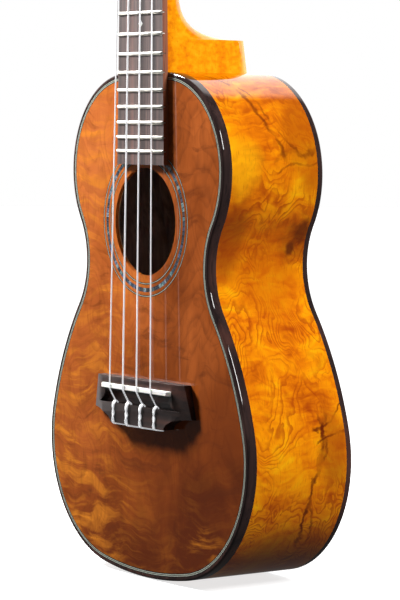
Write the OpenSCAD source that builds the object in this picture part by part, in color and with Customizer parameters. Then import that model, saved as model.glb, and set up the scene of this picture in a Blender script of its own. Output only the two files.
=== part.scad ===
// Concert ukulele: glued body, bolted neck, four geared tuners.
// Upright: +Z runs up the neck, the soundboard faces -Y, +X is the treble side.
// The pieces are drawn with the soundboard's face in y = 0 and the nut's front
// face in z = 0, then moved so that the origin lies at the hanger seat, between
// the shoulders of the headstock.

/* [Scale and neck] */
// Length from the nut to the twelfth fret, times two
scale_length = 381; // [340:1:460]
// Number of frets on the fretboard
fret_count = 19; // [16:1:19]
// Fret that sits over the joint of neck and body
joint_fret = 14; // [13:1:14]
// Width of the fretboard at the nut
nut_w = 35; // [32:0.5:42]
// Width of the fretboard at its body end
board_end_w = 45.4; // [42:0.1:52]
// Thickness of the fretboard
board_t = 3.2; // [2.6:0.1:5]
// Length of bare fretboard past the last fret
board_tail = 7.2; // [5:0.1:9]
// Height of a fret's crown
fret_h = 1.0; // [0.8:0.1:1.2]
// Thickness of a fret's tang
tang_t = 0.5; // [0.4:0.05:0.6]
// Depth of a fret's slot
tang_h = 1.5; // [1:0.1:2]
// Depth of the neck behind the nut
neck_d = 14; // [12:0.5:18]
// Depth of the neck where the heel begins
neck_heel_d = 16; // [14:0.5:20]
// Length of the heel's block along the neck
heel_len = 18; // [14:1:26]

/* [Body] */
// Length of the body
body_len = 275.7; // [260:0.1:345]
// Width of the upper bout
upper_w = 147.4; // [130:0.1:178]
// Radius of the upper bout
upper_r = 53.4; // [48:0.1:60]
// Width of the waist
waist_w = 118.8; // [105:0.1:128]
// Radius of the waist
waist_r = 42.6; // [32:0.1:52]
// Radius of the flank between the waist and the lower bout
flank_r = 177.4; // [140:0.1:230]
// Width of the lower bout
lower_w = 194; // [182:0.1:236]
// Radius of the lower bout
lower_r = 68.1; // [58:0.1:72]
// Height of the lower bout's centre above the tail
lower_rise = 70.6; // [69:0.1:88]
// Depth of the body at the neck
depth_neck = 64.5; // [54:0.1:80]
// Depth of the body at the tail
depth_tail = 69.5; // [56:0.1:86]
// Thickness of the soundboard
top_t = 2; // [1.6:0.1:3]
// Thickness of the back
back_t = 2; // [1.6:0.1:3]
// Thickness of the sides and of the binding that caps their edges
side_t = 2.2; // [1.8:0.1:3]
// Height of the binding at the soundboard
bind_h = 5.5; // [4:0.1:8]
// Height of the binding at the back
back_bind_h = 3.8; // [3:0.1:7]
// Width of the purfling lines inside the binding
purfling_w = 2; // [1.2:0.1:3]
// Depth of every inlay in the soundboard
inlay_d = 1; // [0.6:0.1:1.4]
// Width of the linings inside the sides
lining_w = 5; // [4:0.5:8]
// Height of the linings
lining_h = 10; // [8:0.5:14]

/* [Soundhole and bracing] */
// Radius of the soundhole
hole_r = 29.3; // [24:0.1:31]
// Distance from the top of the body to the soundhole's centre
hole_drop = 80.7; // [79:0.1:98]
// Inner radius of the rosette's inner line
rosette_r = 33.3; // [32.5:0.1:36]
// Width of the rosette's wood bands
band_w = 1.7; // [1.2:0.1:2.2]
// Width of each rosette line
line_w = 1.1; // [0.8:0.1:1.5]
// Width of the shell ring
shell_w = 2.3; // [1.5:0.1:3]
// Width of the transverse bars
bar_w = 8; // [6:0.5:9]
// Height of the transverse bars
bar_h = 9; // [7:0.5:12]
// Width of a fan brace
fan_w = 5; // [4:0.5:7]
// Height of a fan brace
fan_h = 6; // [4:0.5:8]
// Spread of the fan braces at the tail
fan_spread = 34; // [24:1:42]
// Thickness of the bridge plate and of the soundhole patch
patch_t = 1.6; // [1.2:0.1:2.5]

/* [Bridge and strings] */
// Width of the bridge between the tips of its wings
bridge_w = 94; // [82:1:114]
// Width of the bridge's upper edge
bridge_top_w = 84; // [80:1:100]
// Width of the tie block's lower edge
tie_w = 52; // [50:0.5:64]
// Length of the bridge along the strings
bridge_len = 25.2; // [24.6:0.1:30]
// Height of the bridge at its middle
bridge_h = 7; // [6:0.1:9]
// Height of the wing tips
wing_h = 2.6; // [2:0.1:4]
// Sideways offset of the bridge from the strings' centre line
bridge_shift = 2.5; // [0:0.5:3.5]
// Thickness of the saddle
saddle_t = 2.6; // [2:0.1:3.2]
// Length of the saddle
saddle_len = 67; // [58:1:68]
// Height of the strings' undersides over the soundboard at the saddle
saddle_h = 9.3; // [8.5:0.1:11]
// Spacing of the outer strings at the saddle
saddle_spread = 40; // [34:0.5:46]
// Spacing of the outer strings at the nut
nut_spread = 28.4; // [24:0.2:31]
// Height of the strings' undersides over the neck's face at the nut
nut_h = 4.8; // [4.6:0.1:6.6]
// Thickness of the nut
nut_t = 5; // [4:0.5:6]
// Diameters of the strings, from bass side to treble side
string_d = [0.75, 0.95, 0.85, 0.7];

/* [Headstock and tuners] */
// Backward tilt of the headstock, in degrees
head_tilt = 12; // [6:1:15]
// Length of the headstock along its face
head_len = 118; // [112:1:140]
// Width of the headstock above its shoulders
head_w = 66; // [62:1:78]
// Width of the headstock at its top
head_top_w = 72; // [66:1:84]
// Thickness of the headstock
head_t = 13; // [12:0.5:15]
// Thickness of the headstock's face plate
plate_t = 1.8; // [1.2:0.1:3]
// Height of the shoulders above the nut
shoulder_rise = 12; // [8:1:14]
// Sideways distance of the tuner posts from the centre line
post_x = 24; // [22:0.5:27]
// Height of the lower pair of posts
post_low = 36; // [34:1:40]
// Height of the upper pair of posts
post_high = 80; // [74:1:86]
// Radius of a tuner post
post_r = 3; // [2.5:0.1:3.5]
// Radius of the holes for the bushings
bushing_r = 4.2; // [4:0.1:4.6]
// Radial running clearance of each shaft in its hole
run_gap = 0.05; // [0.03:0.01:0.08]
// Number of teeth on a tuner's gear
gear_teeth = 14; // [14:1:16]
// Axial pitch of the worm
worm_pitch = 1.885; // [1.7:0.005:2]

/* [Hidden] */
$fn = 64;
big = 500;
arc_step = 4;

// ---------- Places that several pieces share ----------
function fret_z(n) = -scale_length * (1 - pow(2, -n / 12));
function mix(a, b, t) = a + (b - a) * t;
function unit(v) = v / norm(v);
body_top = fret_z(joint_fret);
body_end = body_top - body_len;
hole_z = body_top - hole_drop;
board_len = -fret_z(fret_count) + board_tail;
saddle_z = -scale_length - 1.8;
function board_half(z) = mix(nut_w, board_end_w, -z / board_len) / 2;
back_tilt = atan((depth_tail - depth_neck) / body_len);
string_r = string_d / 2;

// ---------- Body outline: tangent arcs, every inset is concentric ----------
upper_c = [upper_w / 2 - upper_r, body_top - upper_r];
lower_c = [lower_w / 2 - lower_r, body_end + lower_rise];
waist_x = waist_w / 2 + waist_r;
waist_c = [waist_x, upper_c[1] - sqrt(pow(upper_r + waist_r, 2) - pow(waist_x - upper_c[0], 2))];
// The flank circle touches the waist circle outside and the lower bout inside.
waist_reach = waist_r + flank_r;
lower_reach = flank_r - lower_r;
gap = norm(lower_c - waist_c);
along = (waist_reach * waist_reach - lower_reach * lower_reach + gap * gap) / (2 * gap);
across = sqrt(waist_reach * waist_reach - along * along);
gap_dir = (lower_c - waist_c) / gap;
flank_c = waist_c + gap_dir * along + [gap_dir[1], -gap_dir[0]] * across;
// The tail arc is centred on the body and touches the lower bout inside.
tail_r = (pow(lower_c[0], 2) + pow(lower_rise, 2) - pow(lower_r, 2)) / (2 * (lower_rise - lower_r));
tail_c = [0, body_end + tail_r];
function heading(from, to) = atan2(to[1] - from[1], to[0] - from[0]);
a_upper = heading(upper_c, waist_c);
a_waist = heading(flank_c, waist_c);
a_flank = heading(flank_c, lower_c);
a_lower = heading(tail_c, lower_c);

// Points of an arc, without its first point
function arc(c, r, a0, a1) =
  let (n = max(1, ceil(abs(a1 - a0) / arc_step)))
  [for (i = [1:n]) c + r * [cos(mix(a0, a1, i / n)), sin(mix(a0, a1, i / n))]];
function half_outline(inset) = concat(
  [upper_c + [0, upper_r - inset]],
  arc(upper_c, upper_r - inset, 90, a_upper),
  arc(waist_c, waist_r + inset, a_upper + 180, a_waist + 180),
  arc(flank_c, flank_r - inset, a_waist, a_flank),
  arc(lower_c, lower_r - inset, a_flank, a_lower),
  arc(tail_c, tail_r - inset, a_lower, -90)
);
function mirrored(points) = [for (i = [len(points) - 2:-1:0]) [-points[i][0], points[i][1]]];
module body_shape(inset) {
  half = half_outline(inset);
  polygon(concat(half, mirrored(half)));
}
module ring_shape(inset_out, inset_in) {
  difference() {
    body_shape(inset_out);
    body_shape(inset_in);
  }
}

// ---------- Helpers ----------
back_face = head_t - plate_t;
seat_y = back_face / 2;
seat_z = shoulder_rise;
origin_y = seat_y * cos(head_tilt) + seat_z * sin(head_tilt);
origin_z = nut_t - seat_y * sin(head_tilt) + seat_z * cos(head_tilt);

// Moves a piece from its drawing place to the part's frame
module placed() { translate([0, -origin_y, -origin_z]) children(); }
// Extrudes a front view from depth y0 to depth y1
module plate(y0, y1) { translate([0, y1, 0]) rotate([90, 0, 0]) linear_extrude(y1 - y0) children(); }
module box(x0, x1, y0, y1, z0, z1) { translate([x0, y0, z0]) cube([x1 - x0, y1 - y0, z1 - z0]); }
module area(x0, x1, z0, z1) { translate([x0, z0]) square([x1 - x0, z1 - z0]); }
module bar_y(r, y0, y1) { translate([0, y1, 0]) rotate([90, 0, 0]) cylinder(r = r, h = y1 - y0); }
module bar_x(r, x0, x1) { translate([x0, 0, 0]) rotate([0, 90, 0]) cylinder(r = r, h = x1 - x0); }
// Layer between two depths in front of the back's outer face
module back_layer(d0, d1) {
  translate([0, depth_neck, body_top]) rotate([back_tilt, 0, 0])
    box(-big, big, -d1, -d0, -2 * big, big);
}
// Places its children on the tilted headstock: y = 0 is its wood's face
module on_head() { translate([0, 0, nut_t]) rotate([-head_tilt, 0, 0]) children(); }
function head_point(p) = [
  p[0],
  p[1] * cos(head_tilt) + p[2] * sin(head_tilt),
  nut_t - p[1] * sin(head_tilt) + p[2] * cos(head_tilt)
];

// ---------- Body ----------
module rosette_ring(r0, r1) {
  translate([0, hole_z]) difference() {
    circle(r1);
    circle(r0);
  }
}
shell_r = rosette_r + line_w + band_w;
outer_line_r = shell_r + shell_w + band_w;
module line_rings() {
  rosette_ring(rosette_r, rosette_r + line_w);
  rosette_ring(outer_line_r, outer_line_r + line_w);
}
module shell_ring() { rosette_ring(shell_r, shell_r + shell_w); }

module soundboard() {
  color([0.62, 0.3, 0.1]) placed() union() {
    plate(0, inlay_d) difference() {
      body_shape(side_t + purfling_w);
      translate([0, hole_z]) circle(hole_r);
      line_rings();
      shell_ring();
    }
    plate(inlay_d, top_t) difference() {
      body_shape(side_t);
      translate([0, hole_z]) circle(hole_r);
    }
  }
}

module top_purfling() {
  color([0.45, 0.47, 0.42]) placed() plate(0, inlay_d) ring_shape(side_t, side_t + purfling_w);
}
module top_binding() { color([0.12, 0.06, 0.05]) placed() plate(0, bind_h) ring_shape(0, side_t); }
module rosette_lines() { color([0.75, 0.75, 0.68]) placed() plate(0, inlay_d) line_rings(); }
module rosette_shell() { color([0.3, 0.5, 0.55]) placed() plate(0, inlay_d) shell_ring(); }

module back_plate() {
  color([0.85, 0.45, 0.08]) placed() intersection() {
    plate(depth_neck / 2, depth_tail + side_t) body_shape(side_t);
    back_layer(0, back_t);
  }
}
module back_binding() {
  color([0.12, 0.06, 0.05]) placed() intersection() {
    plate(depth_neck / 2, depth_tail + side_t) ring_shape(0, side_t);
    back_layer(0, back_bind_h);
  }
}

module side_half(sign) {
  difference() {
    plate(bind_h, depth_tail + side_t) intersection() {
      ring_shape(0, side_t);
      area(min(0, sign * big), max(0, sign * big), -2 * big, big);
    }
    back_layer(-big, back_bind_h);
    bolt_line() cylinder(r = bolt_r + bolt_gap, h = big, center = true);
  }
}
module side_bass() { color([0.9, 0.5, 0.08]) placed() side_half(-1); }
module side_treble() { color([0.9, 0.5, 0.08]) placed() side_half(1); }

block_half = 25;
neck_block_len = 24;
tail_block_len = 12;
block_gap = 0.2;
module neck_block_area(grow) {
  area(-block_half - grow, block_half + grow, body_top - side_t - neck_block_len - grow, body_top + 1);
}
module tail_block_area(grow) {
  area(-block_half - grow, block_half + grow, body_end - 1, body_end + side_t + tail_block_len + grow);
}
bolt_y = 40;
bolt_r = 3;
bolt_gap = 0.2;
bolt_head_r = 5.5;
bolt_head_h = 3;
insert_r = 4.5;
insert_len = 12;
module bolt_line() { translate([0, bolt_y, body_top]) children(); }

module neck_block() {
  color([0.72, 0.55, 0.35]) placed() difference() {
    plate(top_t, depth_tail) intersection() {
      body_shape(side_t);
      neck_block_area(0);
    }
    back_layer(-big, back_t);
    bolt_line() translate([0, 0, -big]) cylinder(r = bolt_r + bolt_gap, h = big);
  }
}
module tail_block() {
  color([0.72, 0.55, 0.35]) placed() difference() {
    plate(top_t, depth_tail + side_t) intersection() {
      body_shape(side_t);
      tail_block_area(0);
    }
    back_layer(-big, back_t);
  }
}
module lining_area() {
  difference() {
    ring_shape(side_t, side_t + lining_w);
    neck_block_area(block_gap);
    tail_block_area(block_gap);
  }
}
module top_linings() { color([0.7, 0.5, 0.3]) placed() plate(top_t, top_t + lining_h) lining_area(); }
module back_linings() {
  color([0.7, 0.5, 0.3]) placed() intersection() {
    plate(depth_neck / 2, depth_tail + side_t) lining_area();
    back_layer(back_t, back_t + lining_h);
  }
}

// ---------- Bracing ----------
brace_inset = side_t + lining_w + block_gap;
bar_drop = outer_line_r + line_w + bar_w / 2 + 1;
module bar_area(z) { area(-big, big, z - bar_w / 2, z + bar_w / 2); }
module transverse_bars() {
  color([0.85, 0.7, 0.5]) placed() plate(top_t, top_t + bar_h) intersection() {
    body_shape(brace_inset);
    union() {
      bar_area(hole_z + bar_drop);
      bar_area(hole_z - bar_drop);
    }
  }
}
plate_half = 50;
bridge_z = saddle_z + 5;
bridge_end = bridge_z - bridge_len;
plate_top = bridge_z + 5;
plate_end = bridge_end - 5;
module bridge_plate() {
  color([0.8, 0.6, 0.4]) placed() plate(top_t, top_t + patch_t)
    area(-plate_half, plate_half, plate_end, plate_top);
}
fan_top = hole_z - bar_drop - bar_w / 2 - 2;
fan_end = body_end + side_t + tail_block_len + 8;
fan_angle = atan(fan_spread / 3 / (fan_top - fan_end));
module fan_braces() {
  color([0.85, 0.7, 0.5]) placed() difference() {
    plate(top_t, top_t + fan_h) for (side = [-1:1])
      translate([side * fan_spread * 2 / 3, fan_top]) rotate(side * fan_angle)
        area(-fan_w / 2, fan_w / 2, fan_end - fan_top, 0);
    box(-plate_half, plate_half, 0, top_t + patch_t, plate_end, plate_top);
  }
}
module soundhole_patch() {
  color([0.85, 0.7, 0.5]) placed() plate(top_t, top_t + patch_t)
    rosette_ring(hole_r + 1, outer_line_r);
}
back_bar_z = [for (share = [0.16, 0.45, 0.76]) body_top - body_len * share];
module back_braces() {
  color([0.85, 0.7, 0.5]) placed() intersection() {
    plate(depth_neck / 2, depth_tail) intersection() {
      body_shape(brace_inset);
      for (z = back_bar_z) bar_area(z);
    }
    back_layer(back_t, back_t + bar_h);
  }
}
strip_half = 7;
module back_strip() {
  color([0.8, 0.6, 0.4]) placed() intersection() {
    plate(depth_neck / 2, depth_tail) difference() {
      area(-strip_half, strip_half, body_end + side_t + tail_block_len + block_gap,
        body_top - side_t - neck_block_len - block_gap);
      for (z = back_bar_z) bar_area(z);
    }
    back_layer(back_t, back_t + patch_t);
  }
}

// ---------- Neck ----------
// The heel's back line: a sharp concave bend from the neck's depth to the tip
heel_bend = 28.3;
heel_tip = 0.945;
heel_power = 2.3;
// Squareness of the heel's section at its foot
heel_square = 0.8;
heel_n = 12;
throat_z = -12;
// Depth of the neck behind the nut, where it turns into the headstock's back
throat_d = back_face * cos(head_tilt) - 0.1;
// Sections from the nut to the foot of the heel: height, half width, depth and
// squareness, which is 1 for half an ellipse and near 0 for a rectangle
neck_sections = concat(
  [[nut_t - 0.5, nut_w / 2, throat_d, 0.2], [-1, nut_w / 2, mix(throat_d, neck_d, 0.55), 0.5],
    [throat_z, board_half(throat_z), neck_d, 1]],
  [for (i = [0:heel_n]) let (v = 1 - i / heel_n, z = body_top + heel_len + heel_bend * v * v)
    [z, board_half(z), mix(neck_heel_d, depth_neck, heel_tip * pow(1 - v, heel_power)),
      mix(1, heel_square, 1 - v)]],
  [[body_top, board_half(body_top), depth_neck, heel_square]]
);
section_n = 24;
function section_points(s) = [for (i = [0:section_n]) let (
    a = 180 * i / section_n,
    c = i == section_n / 2 ? 0 : cos(a))
  [s[1] * sign(c) * pow(abs(c), s[3]), s[2] * pow(abs(sin(a)), s[3]), s[0]]];
module neck_shaft() {
  m = section_n + 1;
  last = len(neck_sections) - 1;
  polyhedron([for (s = neck_sections) each section_points(s)], concat(
    [[for (j = [section_n:-1:0]) j]],
    [for (i = [0:last - 1]) for (j = [0:section_n]) let (k = (j + 1) % m)
      each [[i * m + j, i * m + k, (i + 1) * m + k], [i * m + j, (i + 1) * m + k, (i + 1) * m + j]]],
    [[for (j = [0:section_n]) last * m + j]]));
}

// Front view of the headstock: shoulders, sides and a low arched top
corner_r = 7;
crest = 6;
shoulder_w = nut_w / 2 + 0.5;
head_half = [
  [shoulder_w, -1],
  [shoulder_w, 1],
  [shoulder_w + 1.5, 4]
];
function head_outline() = let (
    low = [head_w / 2 - corner_r, shoulder_rise + corner_r],
    high = [head_top_w / 2 - corner_r, head_len - crest - corner_r])
  concat(head_half,
    [[low[0] * 0.8, shoulder_rise - 1.5]],
    arc(low, corner_r, -75, 0),
    arc(high, corner_r, 0, 68),
    [[head_top_w * 0.22, head_len - crest * 0.3], [0, head_len]]);
module head_shape() {
  half = head_outline();
  polygon(concat(half, mirrored(half)));
}
// The tuners, bass side then treble side: side, height of post
tuners = [[-1, post_low], [-1, post_high], [1, post_high], [1, post_low]];
module at_tuner(k) {
  translate([tuners[k][0] * post_x, 0, tuners[k][1]])
    mirror([tuners[k][0] < 0 ? 1 : 0, 0, 0]) children();
}

module neck() {
  color([0.9, 0.5, 0.1]) placed() difference() {
    union() {
      neck_shaft();
      difference() {
        on_head() plate(0, back_face) head_shape();
        box(-big, big, -big, 0, -1, nut_t);
      }
    }
    on_head() for (k = [0:3]) at_tuner(k) {
      bar_y(bushing_r, -1, head_t);
      for (s = plate_screw_at) translate([s[0], 0, s[1]]) bar_y(screw_r, back_face - 6, head_t);
    }
    bolt_line() cylinder(r = insert_r, h = insert_len);
  }
}
module neck_insert() {
  color("goldenrod") placed() bolt_line() difference() {
    cylinder(r = insert_r, h = insert_len);
    translate([0, 0, -1]) cylinder(r = bolt_r, h = insert_len - 1);
  }
}
bolt_inner = side_t + neck_block_len;
module neck_bolt() {
  color("silver") placed() bolt_line() {
    translate([0, 0, -bolt_inner - bolt_head_h]) cylinder(r = bolt_head_r, h = bolt_head_h);
    translate([0, 0, -bolt_inner]) cylinder(r = bolt_r, h = bolt_inner + insert_len - 3);
  }
}

// ---------- Fretboard ----------
module fretboard() {
  color([0.3, 0.2, 0.18]) placed() difference() {
    plate(-board_t, 0)
      polygon([[-nut_w / 2, 0], [nut_w / 2, 0], [board_end_w / 2, -board_len], [-board_end_w / 2, -board_len]]);
    for (n = [1:fret_count])
      box(-big, big, -board_t - 1, -board_t + tang_h, fret_z(n) - tang_t / 2, fret_z(n) + tang_t / 2);
    for (n = marker_frets) marker_solid(n);
    for (n = marker_frets) side_dot(n);
  }
}
fret_bevel = 0.7;
module fret(n) {
  half = board_half(fret_z(n));
  translate([0, -board_t, fret_z(n)]) {
    intersection() {
      bar_x(fret_h, -half, half);
      translate([0, 0, -fret_h]) linear_extrude(2 * fret_h) polygon([
        [-half, 0], [-half + fret_bevel * fret_h, -fret_h],
        [half - fret_bevel * fret_h, -fret_h], [half, 0]]);
    }
    box(-half + 0.2, half - 0.2, 0, tang_h, -tang_t / 2, tang_t / 2);
  }
}
module frets() { color("silver") placed() for (n = [1:fret_count]) fret(n); }

marker_frets = [5, 7, 10, 12];
marker_half = 2.1;
marker_t = 1.2;
module marker_solid(n) {
  z = (fret_z(n) + fret_z(n - 1)) / 2;
  plate(-board_t, -board_t + marker_t)
    polygon([[-marker_half, z], [0, z - marker_half], [marker_half, z], [0, z + marker_half]]);
}
module fret_markers() { color("white") placed() for (n = marker_frets) marker_solid(n); }
dot_r = 0.9;
module side_dot(n) {
  z = (fret_z(n) + fret_z(n - 1)) / 2;
  translate([-board_half(z), -board_t * 0.42, z]) intersection() {
    bar_x(dot_r, -1, 1.2);
    rotate([0, atan((board_end_w - nut_w) / 2 / board_len), 0]) box(0, 5, -2, 2, -2, 2);
  }
}
module side_dots() { color("white") placed() for (n = marker_frets) side_dot(n); }

// ---------- Nut, headplate ----------
function nut_x(k) = nut_spread * (k / 3 - 0.5);
function saddle_x(k) = saddle_spread * (k / 3 - 0.5);
slot_d = 0.4;
nut_fall = 0.9;
module nut() {
  color([0.93, 0.9, 0.82]) placed() difference() {
    translate([-nut_w / 2, 0, 0]) rotate([90, 0, 90]) linear_extrude(nut_w)
      polygon([[0, 0], [-nut_h - slot_d, 0], [-nut_h - slot_d + nut_fall, nut_t], [0, nut_t]]);
    for (k = [0:3]) translate([nut_x(k), -nut_h - string_r[k], 0]) rotate([-atan(nut_fall / nut_t), 0, 0])
      cylinder(r = string_r[k] + 0.02, h = 3 * nut_t, center = true);
  }
}
module headplate() {
  color([0.15, 0.08, 0.07]) placed() difference() {
    on_head() plate(-plate_t, 0) difference() {
      head_shape();
      area(-big, big, -big, 0.4);
    }
    on_head() for (k = [0:3]) at_tuner(k) bar_y(bushing_r, -plate_t - 1, 1);
  }
}

// ---------- Bridge and saddle ----------
tip_drop = 18.2;
module bridge_shape() {
  top = bridge_z;
  tip = bridge_z - tip_drop;
  cove = (bridge_w - tie_w) / 2;
  cove_n = 8;
  edge = concat(
    [[bridge_top_w / 2, top], [bridge_w / 2, tip]],
    [for (i = [1:cove_n]) let (a = 90 * i / cove_n)
      [bridge_w / 2 - cove * sin(a), mix(tip, bridge_end, 1 - cos(a)) ]]);
  polygon(concat(edge, [for (i = [len(edge) - 1:-1:0]) [-edge[i][0], edge[i][1]]]));
}
flat_half = 34;
module bridge_front() {
  polygon([[-bridge_w / 2 - 1, 0], [-bridge_w / 2 - 1, -wing_h], [-flat_half, -bridge_h],
    [flat_half, -bridge_h], [bridge_w / 2 + 1, -wing_h], [bridge_w / 2 + 1, 0]]);
}
valley_d = 4;
tie_z = saddle_z - 9.4;
module valley_shape() {
  valley_top = saddle_z - saddle_t / 2 - 1.2;
  side = [for (i = [0:6]) let (a = 90 * i / 6)
    [flat_half - 3 + (bridge_w / 2 - flat_half - 3) * (1 - cos(a)), mix(valley_top, tie_z, sin(a))]];
  polygon(concat(side, [for (i = [len(side) - 1:-1:0]) [-side[i][0], side[i][1]]]));
}
slot_h = bridge_h - 3.2;
tie_hole_r = 0.9;
tie_hole_y = -4.2;
module bridge() {
  color([0.2, 0.13, 0.12]) placed() difference() {
    translate([bridge_shift, 0, 0]) difference() {
      intersection() {
        plate(-bridge_h, 0) bridge_shape();
        translate([0, 0, -big]) linear_extrude(big) bridge_front();
      }
      plate(-bridge_h - 1, -bridge_h + valley_d) valley_shape();
      box(-saddle_len / 2, saddle_len / 2, -bridge_h - 1, -slot_h,
        saddle_z - saddle_t / 2, saddle_z + saddle_t / 2);
    }
    for (k = [0:3]) translate([saddle_x(k), tie_hole_y, bridge_end - 1]) cylinder(r = tie_hole_r, h = tie_z - bridge_end + 2);
  }
}
saddle_end_r = 3;
module saddle() {
  half = saddle_len / 2;
  color([0.95, 0.93, 0.86]) placed() translate([bridge_shift, 0, saddle_z - saddle_t / 2])
    linear_extrude(saddle_t) polygon(concat(
      [[-half, -slot_h], [-half, -saddle_h + saddle_end_r]],
      [for (i = [1:6]) [-half + saddle_end_r * (1 - cos(15 * i)), -saddle_h + saddle_end_r * (1 - sin(15 * i))]],
      [for (i = [6:-1:1]) [half - saddle_end_r * (1 - cos(15 * i)), -saddle_h + saddle_end_r * (1 - sin(15 * i))]],
      [[half, -saddle_h + saddle_end_r], [half, -slot_h]]));
}

// ---------- Strings ----------
// Tube of 8 sides through the route's points, its rings carried without twist
function route_dir(p, i) =
  i == 0 ? unit(p[1] - p[0]) :
  i == len(p) - 1 ? unit(p[i] - p[i - 1]) :
  unit(unit(p[i + 1] - p[i]) + unit(p[i] - p[i - 1]));
function square_to(n, t) = unit(n - (n * t) * t);
function normals(p, i, n) =
  let (m = square_to(n, route_dir(p, i)))
  i == len(p) - 1 ? [m] : concat([m], normals(p, i + 1, m));
module tube(p, r) {
  n = 8;
  side = normals(p, 0, [1, 0.1, 0.05]);
  rings = [for (i = [0:len(p) - 1]) let (t = route_dir(p, i), v = cross(t, side[i]))
    for (j = [0:n - 1]) p[i] + r * (cos(360 * j / n) * side[i] + sin(360 * j / n) * v)];
  last = (len(p) - 1) * n;
  polyhedron(rings, concat(
    [[for (j = [n - 1:-1:0]) j]],
    [for (i = [0:len(p) - 2]) for (j = [0:n - 1]) let (k = (j + 1) % n)
      each [[i * n + j, i * n + k, (i + 1) * n + k], [i * n + j, (i + 1) * n + k, (i + 1) * n + j]]],
    [[for (j = [0:n - 1]) last + j]]));
}
coil_turns = 2.5;
coil_gap = 0.14;
coil_y = -7.6;
coil_step = 12;
// Turns on the post of string k, wound towards the headstock's face
function coil(k) =
  let (r = post_r + coil_gap + string_r[k], s = tuners[k][0], rise = string_d[k] * 1.15)
  [for (i = [0:coil_turns * coil_step]) let (a = 360 * i / coil_step)
    head_point([s * (post_x - r * cos(a)), coil_y + rise * i / coil_step, tuners[k][1] + r * sin(a)])];
function string_route(k) =
  let (xs = saddle_x(k), xn = nut_x(k), r = string_r[k], top = -bridge_h - r - 0.05)
  concat([
    [xs + 1.6, top + 0.9, tie_z + 1.4 + r],
    [xs + 1.5, top, tie_z + 0.3],
    [xs + 0.9, top, mix(tie_z, bridge_end, 0.5)],
    [xs + 0.3, top, bridge_end - 0.2],
    [xs, top + 1.2, bridge_end - r - 0.1],
    [xs, tie_hole_y - 0.6, bridge_end - r - 0.1],
    [xs, tie_hole_y, bridge_end + 0.8],
    [xs, tie_hole_y, tie_z + 0.4],
    [xs, -saddle_h - r - 0.02, saddle_z - saddle_t / 2],
    [xs, -saddle_h - r - 0.02, saddle_z + saddle_t / 2],
    [xn, -nut_h - r, 0],
    [xn, -nut_h - r + nut_fall, nut_t]
  ], coil(k));
module string_solid(k) { color([0.9, 0.9, 0.88]) placed() tube(string_route(k), string_r[k]); }
module string_g() { string_solid(0); }
module string_c() { string_solid(1); }
module string_e() { string_solid(2); }
module string_a() { string_solid(3); }

// ---------- Tuners ----------
base_t = 1;
base_face = back_face + base_t;
gear_w = 2.2;
gear_y = base_face + 2.9;
pitch_r = worm_pitch * gear_teeth / 360 * 180 / PI;
gear_tip = 0.42;
gear_root = 0.72;
worm_tip_r = 2.6;
worm_root_r = 1.5;
worm_pitch_r = 2.05;
worm_z = -pitch_r - worm_pitch_r;
worm_half = 4.6;
ear_t = 1.4;
ear_x = worm_half + 0.15;
shaft_end = 24;
stub_r = 1.8;
screw_r = 0.9;
screw_head_r = 1.8;
plate_screw_at = [[-5.6, 6.6], [5.6, 6.6]];
base_x = 8.4;
base_top = 9.4;
base_low = worm_z - 3.4;

module tuner_plate() {
  difference() {
    union() {
      box(-base_x, base_x, back_face, base_face, base_low, base_top);
      for (s = [-1, 1]) box(s * (ear_x + ear_t / 2) - ear_t / 2, s * (ear_x + ear_t / 2) + ear_t / 2,
        base_face, gear_y + worm_root_r + 1.4, worm_z - 2.8, worm_z + 2.8);
    }
    bar_y(post_r + run_gap, back_face - 1, base_face + 1);
    translate([0, gear_y, worm_z]) bar_x(worm_root_r + run_gap, -base_x, base_x);
    for (s = plate_screw_at) translate([s[0], 0, s[1]]) bar_y(screw_r, back_face - 1, base_face + 1);
  }
}
module tuner_plates() { color("silver") placed() on_head() for (k = [0:3]) at_tuner(k) tuner_plate(); }
flange_r = 5.4;
flange_t = 1.4;
module tuner_bushings() {
  color("silver") placed() on_head() for (k = [0:3]) at_tuner(k) difference() {
    union() {
      bar_y(bushing_r, -plate_t, 6);
      bar_y(flange_r, -plate_t - flange_t, -plate_t);
    }
    bar_y(post_r + run_gap, -big, big);
  }
}
module tuner_screws() {
  color("silver") placed() on_head() for (k = [0:3]) at_tuner(k)
    for (s = plate_screw_at) translate([s[0], 0, s[1]]) {
      bar_y(screw_r, back_face - 5.5, base_face);
      bar_y(screw_head_r, base_face, base_face + 0.9);
    }
}

// Single-start thread: a wedge swept round the worm
thread_n = 16;
module worm_thread() {
  half_n = floor((worm_half - 0.6) / worm_pitch * thread_n);
  inner = worm_root_r - 0.3;
  foot = 0.46;
  tip = 0.2;
  points = [for (i = [-half_n:half_n]) let (
      a = 90 + 360 * i / thread_n,
      x = worm_pitch * i / thread_n,
      out = [0, cos(a), sin(a)],
      ramp = min(1, (half_n - abs(i)) / 6),
      tip_r = mix(worm_root_r + 0.05, worm_tip_r, ramp))
    each [[x - foot, 0, 0] + inner * out, [x - tip, 0, 0] + tip_r * out,
      [x + tip, 0, 0] + tip_r * out, [x + foot, 0, 0] + inner * out]];
  polyhedron(points, concat(
    [[3, 2, 1, 0]],
    [for (i = [0:2 * half_n - 1]) for (j = [0:3])
      [4 * i + j, 4 * i + (j + 1) % 4, 4 * (i + 1) + (j + 1) % 4, 4 * (i + 1) + j]],
    [[for (j = [0:3]) 8 * half_n + j]]));
}
module worm(k) {
  color("silver") placed() on_head() at_tuner(k) translate([0, gear_y, worm_z]) {
    bar_x(worm_root_r, -ear_x - ear_t - 0.6, shaft_end);
    worm_thread();
    bar_x(worm_root_r + 0.8, ear_x + ear_t + 0.1, ear_x + ear_t + 1.6);
    bar_x(worm_root_r + 0.8, -ear_x - ear_t - 1.1, -ear_x - ear_t - 0.1);
  }
}
button_len = 12;
button_half = 6.5;
button_t = 7;
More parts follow.
